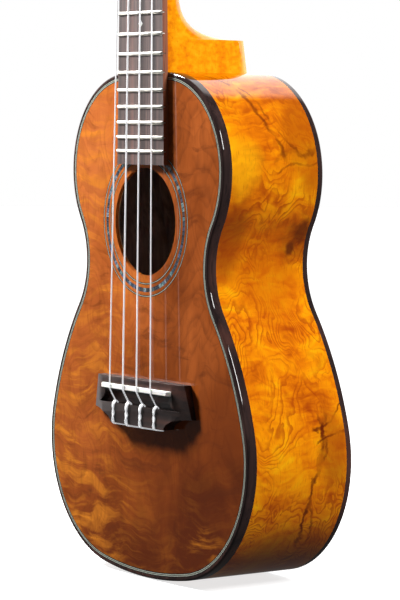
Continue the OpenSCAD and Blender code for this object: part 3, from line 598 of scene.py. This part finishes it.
def neck_wood():
    """Neck and heel: orange mahogany with short pores and a faint shimmer."""
    mat, tree, shader = new_material("neck_mahogany", **lacquer(Coat_Weight=0.6))
    cloud = noise(tree, warped(tree, coords(tree, scale=(60, 60, 18)), 0.6, 1.0), 1.0, 3.0).outputs["Fac"]
    shimmer = noise(tree, coords(tree, scale=(260, 260, 420)), 1.0, 2.0).outputs["Fac"]
    mottle = maths(tree, "ADD", maths(tree, "MULTIPLY", cloud, 0.6), maths(tree, "MULTIPLY", shimmer, 0.4))
    base = ramp(tree, mottle, [
        (0.36, (0.74, 0.18, 0.002)), (0.5, (0.96, 0.34, 0.002)), (0.64, (1.0, 0.48, 0.01))])
    pores = noise(tree, coords(tree, scale=(1500, 1500, 420)), 1.0, 2.0).outputs["Fac"]
    base = blend(tree, span(tree, pores, 0.54, 0.74, 0.0, 0.42), base, (0.5, 0.1, 0.002))
    paint(tree, shader, base)
    bump(tree, shader, pores, 0.03)
    return mat


def dark_wood(name, low, high, across, red, **settings):
    """Rosewood: dark ground with long streaks, red on the lighter ones."""
    mat, tree, shader = new_material(name, **settings)
    wide = coords(tree, scale=tuple(v * 0.25 for v in across))
    streak = noise(tree, wide, 1.0, 3.0, 0.6, 0.2).outputs["Fac"]
    between = tuple(mix(a, b, 0.45) for a, b in zip(low, high))
    base = ramp(tree, streak, [(0.32, low), (0.55, between), (0.74, high)])
    widest = coords(tree, scale=tuple(v * 0.1 for v in across), move=(3, 1, 2))
    warm = noise(tree, widest, 1.0, 2.0).outputs["Fac"]
    base = blend(tree, span(tree, warm, 0.5, 0.72, 0.0, red), base, (0.22, 0.07, 0.045))
    pores = noise(tree, coords(tree, scale=across), 1.0, 2.0, 0.6).outputs["Fac"]
    base = blend(tree, span(tree, pores, 0.55, 0.7, 0.0, 0.6), base, (0.012, 0.008, 0.008))
    paint(tree, shader, base)
    bump(tree, shader, pores, 0.25, 0.0001)
    return mat


def raw_wood(name, low, high):
    """Unfinished inner wood."""
    mat, tree, shader = new_material(name, Roughness=0.75)
    streak = noise(tree, coords(tree, scale=(420, 420, 30)), 1.0, 3.0, 0.6).outputs["Fac"]
    paint(tree, shader, ramp(tree, streak, [(0.3, low), (0.7, high)]))
    bump(tree, shader, streak, 0.3)
    return mat


DYED, PALE = (0.015, 0.014, 0.013), (0.42, 0.45, 0.38)


def purfling_lines():
    """Purfling of dyed and pale layers, read across the band's own width."""
    mat, tree, shader = new_material("purfling_lines", **lacquer())
    across = node(tree, "ShaderNodeSeparateXYZ", {0: coords(tree, "UV")}).outputs[1]
    layers = [(0.0, DYED), (0.22, PALE), (0.4, DYED), (0.6, PALE), (0.78, DYED)]
    lines = ramp(tree, across, layers, "CONSTANT")
    fleck = noise(tree, coords(tree, "UV", scale=(900, 3, 1)), 1.0, 2.0).outputs["Fac"]
    lines = blend(tree, span(tree, fleck, 0.5, 0.8, 0.0, 0.35), lines, (0.1, 0.12, 0.09))
    paint(tree, shader, lines)
    return mat


def rosette_lines():
    """Dark, pale and dark line by distance from the soundhole's centre."""
    mat, tree, shader = new_material("rosette_line", **lacquer())
    centre = place(0, 0, HOLE_Z)
    moved = coords(tree, move=(0, 0, -centre.z))
    flat = node(tree, "ShaderNodeVectorMath", {0: moved, 1: (1, 0, 1)}, operation="MULTIPLY").outputs[0]
    radius = node(tree, "ShaderNodeVectorMath", {0: flat}, operation="LENGTH").outputs["Value"]
    outer = SHELL_R + SHELL_W + BAND_W
    inner_part = span(tree, radius, ROSETTE_R * MM, (ROSETTE_R + LINE_W) * MM, kind="LINEAR")
    outer_part = span(tree, radius, outer * MM, (outer + LINE_W) * MM, kind="LINEAR")
    is_outer = maths(tree, "GREATER_THAN", radius, (outer - 0.5) * MM)
    across = maths(tree, "ADD", maths(tree, "MULTIPLY", inner_part, maths(tree, "SUBTRACT", 1.0, is_outer)),
                   maths(tree, "MULTIPLY", outer_part, is_outer))
    line = ramp(tree, across, [(0.0, DYED), (0.33, PALE), (0.62, DYED)], "CONSTANT")
    paint(tree, shader, line)
    return mat


def shell():
    """Abalone: each chip has its own slice of grey, blue and green."""
    mat, tree, shader = new_material("abalone", Roughness=0.22, Coat_Weight=1.0, Coat_Roughness=0.03)
    chip = node(tree, "ShaderNodeAttribute", attribute_name="chip_hue").outputs["Fac"]
    swirl = noise(tree, coords(tree, scale=(900, 900, 900)), 1.0, 2.0, 0.5, 1.5).outputs["Fac"]
    hue = maths(tree, "ADD", maths(tree, "MULTIPLY", swirl, 0.5), maths(tree, "MULTIPLY", chip, 0.5))
    base = ramp(tree, hue, [
        (0.28, (0.035, 0.035, 0.04)), (0.4, (0.045, 0.08, 0.12)), (0.47, (0.07, 0.2, 0.2)),
        (0.52, (0.4, 0.48, 0.44)), (0.57, (0.08, 0.12, 0.24)), (0.7, (0.07, 0.06, 0.06))])
    paint(tree, shader, base)
    return mat


def pearl():
    """Mother of pearl for the position markers."""
    mat, tree, shader = new_material("pearl", Roughness=0.2, Coat_Weight=0.6)
    swirl = noise(tree, coords(tree, scale=(500, 500, 500)), 1.0, 2.0, 0.5, 1.0).outputs["Fac"]
    paint(tree, shader, ramp(tree, swirl, [(0.3, (0.7, 0.76, 0.74)), (0.7, (0.93, 0.9, 0.88))]))
    return mat


def bone():
    """Bone for the nut and the saddle."""
    mat, tree, shader = new_material("bone", Roughness=0.3, Subsurface_Weight=0.15)
    shader.inputs["Subsurface Radius"].default_value = (0.002, 0.0015, 0.001)
    mottled = noise(tree, coords(tree, scale=(300, 900, 900)), 1.0, 3.0).outputs["Fac"]
    paint(tree, shader, ramp(tree, mottled, [(0.3, (0.9, 0.89, 0.83)), (0.7, (0.98, 0.97, 0.94))]))
    bump(tree, shader, mottled, 0.05)
    return mat


def string_material():
    """Clear string: light scatters in it, and a painted glow (it gives off a little light) makes it read as
    bright.
    """
    mat, tree, shader = new_material("fluorocarbon", Roughness=0.3, Subsurface_Weight=0.6, IOR=1.42,
                                     Emission_Strength=0.4)
    shader.inputs["Subsurface Radius"].default_value = (0.003, 0.003, 0.003)
    shader.inputs["Emission Color"].default_value = (0.95, 0.97, 1.0, 1.0)
    streak = noise(tree, coords(tree, scale=(900, 900, 60)), 1.0, 2.0).outputs["Fac"]
    paint(tree, shader, ramp(tree, streak, [(0.3, (0.9, 0.91, 0.93)), (0.7, (1.0, 1.0, 1.0))]))
    return mat


def metal(name, colour, rough):
    """Handled metal, its polish uneven."""
    mat, tree, shader = new_material(name, Metallic=1.0, Roughness=rough)
    worn = noise(tree, coords(tree, scale=(300, 300, 300)), 1.0, 3.0).outputs["Fac"]
    dull = tuple(c * 0.86 for c in colour)
    paint(tree, shader, ramp(tree, worn, [(0.3, dull), (0.7, colour)]))
    tree.links.new(span(tree, worn, 0.3, 0.7, rough * 0.8, rough * 1.4, "LINEAR"), shader.inputs["Roughness"])
    return mat


MAT = {
    "top": top_wood(), "side": side_wood(), "back": back_wood(), "neck": neck_wood(),
    "binding": dark_wood("binding_rosewood", (0.018, 0.011, 0.011), (0.065, 0.034, 0.03),
                         (700, 700, 60), 0.2, **lacquer()),
    "fretboard": dark_wood("fretboard_rosewood", (0.028, 0.017, 0.016), (0.2, 0.115, 0.1),
                           (1600, 1600, 30), 0.55, Roughness=0.5),
    "bridge": dark_wood("bridge_rosewood", (0.012, 0.007, 0.007), (0.05, 0.026, 0.02),
                        (60, 1400, 1400), 0.25, Roughness=0.45, Specular_IOR_Level=0.35),
    # Painted light: the board's rosewood as it looks on its lit long edges
    "edge": dark_wood("lit_edge_rosewood", (0.2, 0.05, 0.02), (0.36, 0.11, 0.04),
                      (1100, 1100, 34), 0.0, Roughness=0.45),
    "veneer": dark_wood("headstock_veneer", (0.03, 0.014, 0.012), (0.13, 0.06, 0.045),
                        (900, 900, 26), 0.35, **lacquer()),
    "inner": raw_wood("inner_mahogany", (0.24, 0.16, 0.13), (0.42, 0.3, 0.24)),
    "brace": raw_wood("brace_spruce", (0.62, 0.42, 0.22), (0.8, 0.62, 0.38)),
    "purfling": purfling_lines(), "line": rosette_lines(), "shell": shell(), "pearl": pearl(),
    "bone": bone(), "string": string_material(),
    "fret": metal("nickel_silver", (0.93, 0.9, 0.82), 0.42),
    "chrome": metal("chrome_plate", (0.78, 0.78, 0.8), 0.08),
    "steel": metal("plated_steel", (0.66, 0.66, 0.66), 0.25),
    "brass": metal("gear_brass", (0.82, 0.6, 0.26), 0.25),
    "ebony": dark_wood("ebony_button", (0.012, 0.01, 0.01), (0.03, 0.024, 0.022),
                       (900, 900, 60), 0.05, **lacquer()),
}


# ---------- The body ----------
def eased_corner():
    """Insets and depths of a rounded outer corner, from the face to the edge."""
    turns = (math.radians(15 * i) for i in range(7))
    return [(EDGE_ROUND * (1 - math.sin(a)), EDGE_ROUND * (1 - math.cos(a))) for a in turns]


def build_body():
    """Bindings, purfling, sides, back, top and rosette. The last value of a profile's point is
    how far across the band it lies."""
    corner, inner = eased_corner(), SIDE_T + PURFLING_W
    front = [(SIDE_T, 0.0, 0.0)] + [(i, d, 0.3) for i, d in corner]
    front += [(0.0, BIND_H, 1.0), (SIDE_T, BIND_H, 1.0)]
    add_piece("top_binding_band", swept_ring("top_binding_band", front), MAT["binding"],
              ("top_binding",))
    rear = [(SIDE_T, on_back(0.0), 0.0)] + [(i, on_back(d), 0.3) for i, d in corner]
    rear += [(0.0, on_back(BACK_BIND_H), 1.0), (SIDE_T, on_back(BACK_BIND_H), 1.0)]
    add_piece("back_binding_band", swept_ring("back_binding_band", rear), MAT["binding"],
              ("back_binding",))
    lines = [(SIDE_T, 0.0, 0.0), (inner, 0.0, 1.0), (inner, PURFLING_DEEP, 1.0), (SIDE_T, PURFLING_DEEP, 0.0)]
    add_piece("purfling_band", swept_ring("purfling_band", lines), MAT["purfling"],
              ("top_purfling",))
    wall = [(0.0, BIND_H), (0.0, on_back(BACK_BIND_H)), (SIDE_T, on_back(BACK_BIND_H)), (SIDE_T, BIND_H)]
    for side, label in ((1, "treble"), (-1, "bass")):
        piece = add_piece("side_wall_" + label, swept_half("side_wall_" + label, side, wall), MAT["side"],
                          ("side_" + label,))
        line_inner_faces(piece.data, len(wall))
    add_piece("back_panel", board_mesh("back_panel", SIDE_T, on_back(0.0), on_back(BACK_T)), MAT["back"],
              ("back_plate",))
    polished("soundboard", MAT["top"], 0.0)
    polished("rosette_lines", MAT["line"], 0.0)
    bed = polished("rosette_shell", MAT["ebony"], 0.0, name="shell_bed")
    # The bed is set down, and the chips lie on it flush with the top
    for point in bed.data.vertices:
        point.co.y += SHELL_BED * MM
    add_piece("shell_chips", shell_chips("shell_chips"), MAT["shell"])


def made_by(tree, name, keys, values):
    """A plain mesh grown by a Geometry Nodes tree from the values given for its named inputs."""
    maker = bpy.data.objects.new(name + "_maker", bpy.data.meshes.new(name + "_maker"))
    bpy.context.scene.collection.objects.link(maker)
    grow = maker.modifiers.new("grow", "NODES")
    grow.node_group = tree
    for label, value in values.items():
        grow[keys[label]] = value
    graph = bpy.context.evaluated_depsgraph_get()
    mesh = bpy.data.meshes.new_from_object(maker.evaluated_get(graph), preserve_all_data_layers=True,
                                           depsgraph=graph)
    mesh.name = name
    bpy.data.objects.remove(maker)
    return mesh


def shell_chips(name):
    """Shell chips set end to end round the hole, each a little shorter or longer than the next."""
    tree = bpy.data.node_groups.new("chips_round_a_ring", "GeometryNodeTree")
    tree.interface.new_socket("Geometry", in_out="OUTPUT", socket_type="NodeSocketGeometry")
    values = {"Ring Radius": (SHELL_R + SHELL_W / 2) * MM, "Ring Width": (SHELL_W - SHELL_PLAY) * MM,
              "Chip Depth": 2 * SHELL_BED * MM, "Glue Line": GLUE_LINE * MM, "Chip Count": CHIP_COUNT,
              "Seed": CHIP_SEED, "Finish": MAT["shell"]}
    kinds = {int: "NodeSocketInt", float: "NodeSocketFloat"}
    keys = {}
    for label, value in values.items():
        kind = kinds.get(type(value), "NodeSocketMaterial")
        keys[label] = tree.interface.new_socket(label, in_out="INPUT", socket_type=kind).identifier
    given = tree.nodes.new("NodeGroupInput").outputs
    count = given["Chip Count"]
    ring = node(tree, "GeometryNodeMeshCircle", {"Radius": given["Ring Radius"], "Vertices": count})
    around = maths(tree, "MULTIPLY", given["Ring Radius"], 2 * math.pi)
    length = maths(tree, "SUBTRACT", maths(tree, "DIVIDE", around, count), given["Glue Line"])
    size = node(tree, "ShaderNodeCombineXYZ", {0: given["Ring Width"], 1: length, 2: given["Chip Depth"]})
    chip = node(tree, "GeometryNodeMeshCube", {"Size": size.outputs[0]}).outputs["Mesh"]
    outward = node(tree, "GeometryNodeInputPosition").outputs[0]
    turned = node(tree, "FunctionNodeAlignRotationToVector", {"Vector": outward}, axis="X", pivot_axis="Z")
    worn = node(tree, "FunctionNodeRandomValue", {2: 0.88, 3: 1.0, "Seed": given["Seed"]}, data_type="FLOAT")
    scale = node(tree, "ShaderNodeCombineXYZ", {0: 1.0, 1: worn.outputs[1], 2: 1.0})
    laid = node(tree, "GeometryNodeInstanceOnPoints", {
        "Points": ring.outputs["Mesh"], "Instance": chip, "Rotation": turned.outputs[0],
        "Scale": scale.outputs[0]})
    next_seed = maths(tree, "ADD", given["Seed"], 1.0)
    shade = node(tree, "FunctionNodeRandomValue", {"Seed": next_seed}, data_type="FLOAT")
    tinted = node(tree, "GeometryNodeStoreNamedAttribute", {
        "Geometry": laid.outputs[0], "Name": "chip_hue", "Value": shade.outputs[1]},
        data_type="FLOAT", domain="INSTANCE")
    seated = node(tree, "GeometryNodeTransform", {
        "Geometry": tinted.outputs[0], "Translation": place(0, SHELL_BED, HOLE_Z),
        "Rotation": (math.pi / 2, 0, 0)})
    real = node(tree, "GeometryNodeRealizeInstances", {"Geometry": seated.outputs[0]})
    done = node(tree, "GeometryNodeSetMaterial", {"Geometry": real.outputs[0], "Material": given["Finish"]})
    tree.links.new(done.outputs[0], tree.nodes.new("NodeGroupOutput").inputs[0])
    return made_by(tree, name, keys, values)


def line_inner_faces(mesh, profile_n):
    """Raw wood on the wall's inner face."""
    mesh.materials.append(MAT["inner"])
    for k in range(2, len(mesh.polygons) - 2, profile_n):
        mesh.polygons[k].material_index = 1


def build_inside():
    """Blocks, linings and braces, with the bolt that holds the neck."""
    for name in ("neck_block", "tail_block", "top_linings", "back_linings"):
        polished(name, MAT["inner"], 0.4)
    for name in ("transverse_bars", "fan_braces", "bridge_plate", "soundhole_patch", "back_braces",
                 "back_strip"):
        polished(name, MAT["brace"], 0.6)
    polished("neck_bolt", MAT["steel"], 0.3)
    polished("neck_insert", MAT["brass"], 0.1)


def build_neck():
    """Neck, board and bridge. The board's long edges get a lighter, redder copy of its rosewood: painted
    light for their lit side.
    """
    polished("neck", MAT["neck"], 0.6, 3)
    board = polished("fretboard", MAT["fretboard"], 0.12)
    # Painted light on the board's long edges
    board.data.materials.append(MAT["edge"])
    for face in board.data.polygons:
        face.material_index = int(abs(face.normal.x) > 0.8)
    polished("frets", MAT["fret"], 0.0)
    polished("fret_markers", MAT["pearl"], 0.0)
    polished("side_dots", MAT["pearl"], 0.0)
    polished("headplate", MAT["veneer"], 0.4)
    polished("nut", MAT["bone"], 0.2)
    polished("bridge", MAT["bridge"], 0.45, 3)
    polished("saddle", MAT["bone"], 0.5, 3)


def build_tuners():
    """Tuners: each worm turns with its button, each gear with its post."""
    polished("tuner_plates", MAT["chrome"], 0.2)
    polished("tuner_bushings", MAT["chrome"], 0.3)
    polished("tuner_screws", MAT["steel"], 0.2)
    for k in POSTS:
        turner, post = "button_%s_body" % k, "post_%s_body" % k
        polished("worm_" + k, MAT["steel"], 0.05, 1, turner)
        polished("button_" + k, MAT["ebony"], 0.4, 3, turner)
        polished("post_" + k, MAT["chrome"], 0.2, 2, post)
        polished("gear_" + k, MAT["brass"], 0.08, 1, post)
        polished("gear_screw_" + k, MAT["steel"], 0.2, 2, post)


# ---------- Strings ----------
def curved(points, steps):
    """A smooth path through the points."""
    pts = [Vector(p) for p in points]
    path = []
    for i in range(len(pts) - 1):
        a, b = pts[max(i - 1, 0)], pts[i]
        c, d = pts[i + 1], pts[min(i + 2, len(pts) - 1)]
        for k in range(steps):
            t = k / steps
            path.append(0.5 * ((2 * b) + (c - a) * t + (2 * a - 5 * b + 4 * c - d) * t * t
                               + (3 * b - a - 3 * c + d) * t ** 3))
    path.append(pts[-1])
    return path


def tube_mesh(name, path, radius, sides=10):
    """A round tube along the path, its rings carried along without twist."""
    verts, faces = [], []
    normal = Vector((0.9, 0.3, 0.1))
    for i, p in enumerate(path):
        along = (path[min(i + 1, len(path) - 1)] - path[max(i - 1, 0)]).normalized()
        normal = (normal - along * normal.dot(along)).normalized()
        other = along.cross(normal)
        for j in range(sides):
            a = 2 * math.pi * j / sides
            verts.append(p + (normal * math.cos(a) + other * math.sin(a)) * radius)
    for i in range(len(path) - 1):
        for j in range(sides):
            k = (j + 1) % sides
            faces.append((i * sides + j, i * sides + k, (i + 1) * sides + k, (i + 1) * sides + j))
    last = (len(path) - 1) * sides
    faces += [tuple(range(sides - 1, -1, -1)), tuple(range(last, last + sides))]
    return mesh_from(name, verts, faces)


def tie_knot(x, width, tail):
    """A string's tail, led along the tie block's foot, twice across the block and back to its hole."""
    r = width / 2
    over, lift = -BRIDGE_H - r - 0.05, 0.55 * width
    behind, step = BRIDGE_END - r - 0.15, (TIE_Z - BRIDGE_END) / 4
    return curved([
        (x + tail, over + 2.6, behind), (x + 0.6 * tail, over + 2.2, behind - 0.1),
        (x + 2.4, over + 1.9, behind - 0.1), (x - 0.4, over + 0.7, behind + 0.1),
        (x - 0.9, over, BRIDGE_END + 0.6), (x + 0.1, over - lift, BRIDGE_END + step),
        (x + 0.8, over, BRIDGE_END + 2 * step), (x + 0.2, over - lift, BRIDGE_END + 3 * step),
        (x - 0.5, over, TIE_Z - 0.5), (x - 0.6, over + 0.9, TIE_Z + r + 0.5),
        (x + 0.6, over + 1.5, TIE_Z + r + 1.1), (x + 1.5, over + 0.7, TIE_Z + r + 0.5),
        (x + 1.3, over - 0.3, TIE_Z - 0.5), (x + 0.2, over, BRIDGE_END + 3 * step),
        (x - 0.7, over, BRIDGE_END + 2 * step), (x + 0.1, over, BRIDGE_END + step),
        (x + 0.7, over, BRIDGE_END + 0.5), (x + 0.6, over + 0.6, behind + 0.1),
        (x + 0.2, TIE_HOLE_Y - 1.4, behind), (x, TIE_HOLE_Y, behind + 0.7),
        (x, TIE_HOLE_Y, TIE_Z - 1.0)], 5)


def speaking_length(x, x_nut, r):
    """From the tie hole up over the saddle, straight to the nut and down behind it."""
    over, on_saddle, on_nut = -BRIDGE_H - r - 0.05, -SADDLE_H - r - 0.02, -NUT_H - r
    path = [Vector((x, TIE_HOLE_Y, TIE_Z + 0.3))]
    path += curved([(x, TIE_HOLE_Y - 0.6, TIE_Z + 0.9), (x + 0.2, over + 1.3, TIE_Z + 1.7),
                    (x, -SADDLE_H - r + 0.35, SADDLE_Z - 1.9), (x, on_saddle, SADDLE_Z - 0.6),
                    (x, on_saddle, SADDLE_Z + 1.0)], 4)
    rings = 8
    for i in range(1, rings + 1):
        t = i / rings
        path.append(Vector((mix(x, x_nut, t), mix(on_saddle, on_nut, t), mix(SADDLE_Z + 1.3, 0, t))))
    path.append(Vector((x_nut, on_nut + NUT_FALL, NUT_T)))
    return path


def coil(side, post_z, width):
    """The string's turns round its post."""
    turn_r, rise = POST_R + COIL_GAP + width / 2, width * COIL_RISE
    path = []
    for i in range(int(COIL_TURNS * COIL_STEPS) + 1):
        a = 2 * math.pi * i / COIL_STEPS
        path.append(Vector(head_point(side * (POST_X - turn_r * math.cos(a)), COIL_Y + rise * i / COIL_STEPS,
                                      post_z + turn_r * math.sin(a))))
    return path


def build_strings():
    """The strings in order from the bass side; the last one's tail is cut short."""
    for index, (k, width) in enumerate(STRINGS.items()):
        spread = index / 3 - 0.5
        x, x_nut = SADDLE_SPREAD * spread, NUT_SPREAD * spread
        knot = tie_knot(x, width, SHORT_TAIL if k == "a" else LONG_TAIL)
        path = knot + speaking_length(x, x_nut, width / 2) + coil(*POSTS[k], width)
        name = "string_%s_line" % k
        add_piece(name, tube_mesh(name, path, width / 2), MAT["string"], ("string_" + k,))


# ---------- Stage, light and camera ----------
FLOOR_GAP = 0.0005
FLOOR_RADII = (0.4, 1.0, 2.5, 6.0)
WHITE = (1, 1, 1, 1)


def build_stage():
    """A pale round floor just under the body that glows a little less beneath it: a painted shadow."""
    floor_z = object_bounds()[0][2] - FLOOR_GAP
    ring_n = 96
    verts, faces = [(0, 0, floor_z)], []
    for r in FLOOR_RADII:
        verts += [(r * math.cos(2 * math.pi * i / ring_n), r * math.sin(2 * math.pi * i / ring_n), floor_z)
                  for i in range(ring_n)]
    for i in range(ring_n):
        k = (i + 1) % ring_n
        faces.append((0, 1 + i, 1 + k))
        for r in range(len(FLOOR_RADII) - 1):
            a, b = 1 + r * ring_n, 1 + (r + 1) * ring_n
            faces.append((a + i, b + i, b + k, a + k))
    mesh = bpy.data.meshes.new("floor")
    mesh.from_pydata(verts, [], faces)
    floor = bpy.data.objects.new("floor", mesh)
    bpy.context.scene.collection.objects.link(floor)
    mat, tree, shader = new_material("pale_floor", Roughness=0.8, Specular_IOR_Level=0.1)
    shader.inputs["Base Color"].default_value = (0.5, 0.5, 0.5, 1)
    shader.inputs["Emission Color"].default_value = WHITE
    flat = node(tree, "ShaderNodeVectorMath", {0: coords(tree), 1: (1, 1, 0)}, operation="MULTIPLY")
    radius = node(tree, "ShaderNodeVectorMath", {0: flat.outputs[0]}, operation="LENGTH").outputs["Value"]
    # Painted shadow: the floor's glow is dimmer under the body
    tree.links.new(span(tree, radius, 0.12, 0.5, 0.75, 1.0), shader.inputs["Emission Strength"])
    mesh.materials.append(mat)
    floor.visible_diffuse = False
    floor.visible_glossy = False


def add_light(name, location, target, size, power):
    """A square soft light of the given side in metres, turned to the target."""
    data = bpy.data.lights.new(name, "AREA")
    data.shape = "RECTANGLE"
    data.size, data.size_y = size, size
    data.energy = power
    light = bpy.data.objects.new(name, data)
    light.location = location
    light.rotation_euler = (target - location).to_track_quat("-Z", "Y").to_euler()
    bpy.context.scene.collection.objects.link(light)


BACKDROP = Vector((-0.83, 0.55, 0.12)).normalized()
FILL, GLOW = 0.075, 2.0
LIGHT_POWER = 25


def build_light():
    """A lit backdrop behind the body, one soft light on the top and one on the sides; the rest is dim."""
    world = bpy.data.worlds.new("studio")
    bpy.context.scene.world = world
    world.use_nodes = True
    tree = world.node_tree
    tree.nodes.clear()
    way = node(tree, "ShaderNodeTexCoord").outputs["Generated"]
    facing = node(tree, "ShaderNodeVectorMath", {0: way, 1: BACKDROP}, operation="DOT_PRODUCT")
    above = span(tree, axes_of(tree, way)[2], -0.35, 0.0)
    lit = maths(tree, "MULTIPLY", span(tree, facing.outputs["Value"], 0.45, 0.62), above)
    strength = span(tree, lit, 0, 1, FILL, GLOW, "LINEAR")
    seen = node(tree, "ShaderNodeBackground", {"Color": WHITE, "Strength": 1.0})
    felt = node(tree, "ShaderNodeBackground", {"Color": WHITE, "Strength": strength})
    ray = node(tree, "ShaderNodeLightPath").outputs["Is Camera Ray"]
    both = node(tree, "ShaderNodeMixShader", {0: ray, 1: felt.outputs[0], 2: seen.outputs[0]})
    out = node(tree, "ShaderNodeOutputWorld")
    tree.links.new(both.outputs[0], out.inputs["Surface"])
    add_light("top_light", place(-590, -350, 250), place(0, 0, -320), 0.2, LIGHT_POWER)
    add_light("side_light", place(1190, 360, 540), place(90, 30, -330), 0.5, LIGHT_POWER)


LENS, SENSOR = 167.117, 36.0
EYE, AIM = place(1258.19, -841.48, -233.20), place(52.56, 0, -331.67)
CAMERA_ROLL = 0.22


def build_camera():
    """A long lens in front of the treble side, turned to the middle of the body."""
    data = bpy.data.cameras.new("camera")
    data.lens = LENS
    data.sensor_width = SENSOR
    data.clip_start = 0.05
    camera = bpy.data.objects.new("camera", data)
    turn = (AIM - EYE).to_track_quat("-Z", "Y").to_matrix().to_4x4()
    roll = Matrix.Rotation(math.radians(CAMERA_ROLL), 4, "Z")
    camera.matrix_world = Matrix.Translation(EYE) @ turn @ roll
    bpy.context.scene.collection.objects.link(camera)
    bpy.context.scene.camera = camera


# ---------- Putting it together ----------
build_camera()
build_body()
build_inside()
build_neck()
build_tuners()
build_strings()
bpy.context.scene.view_settings.view_transform = "Standard"
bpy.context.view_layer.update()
build_stage()
build_light()
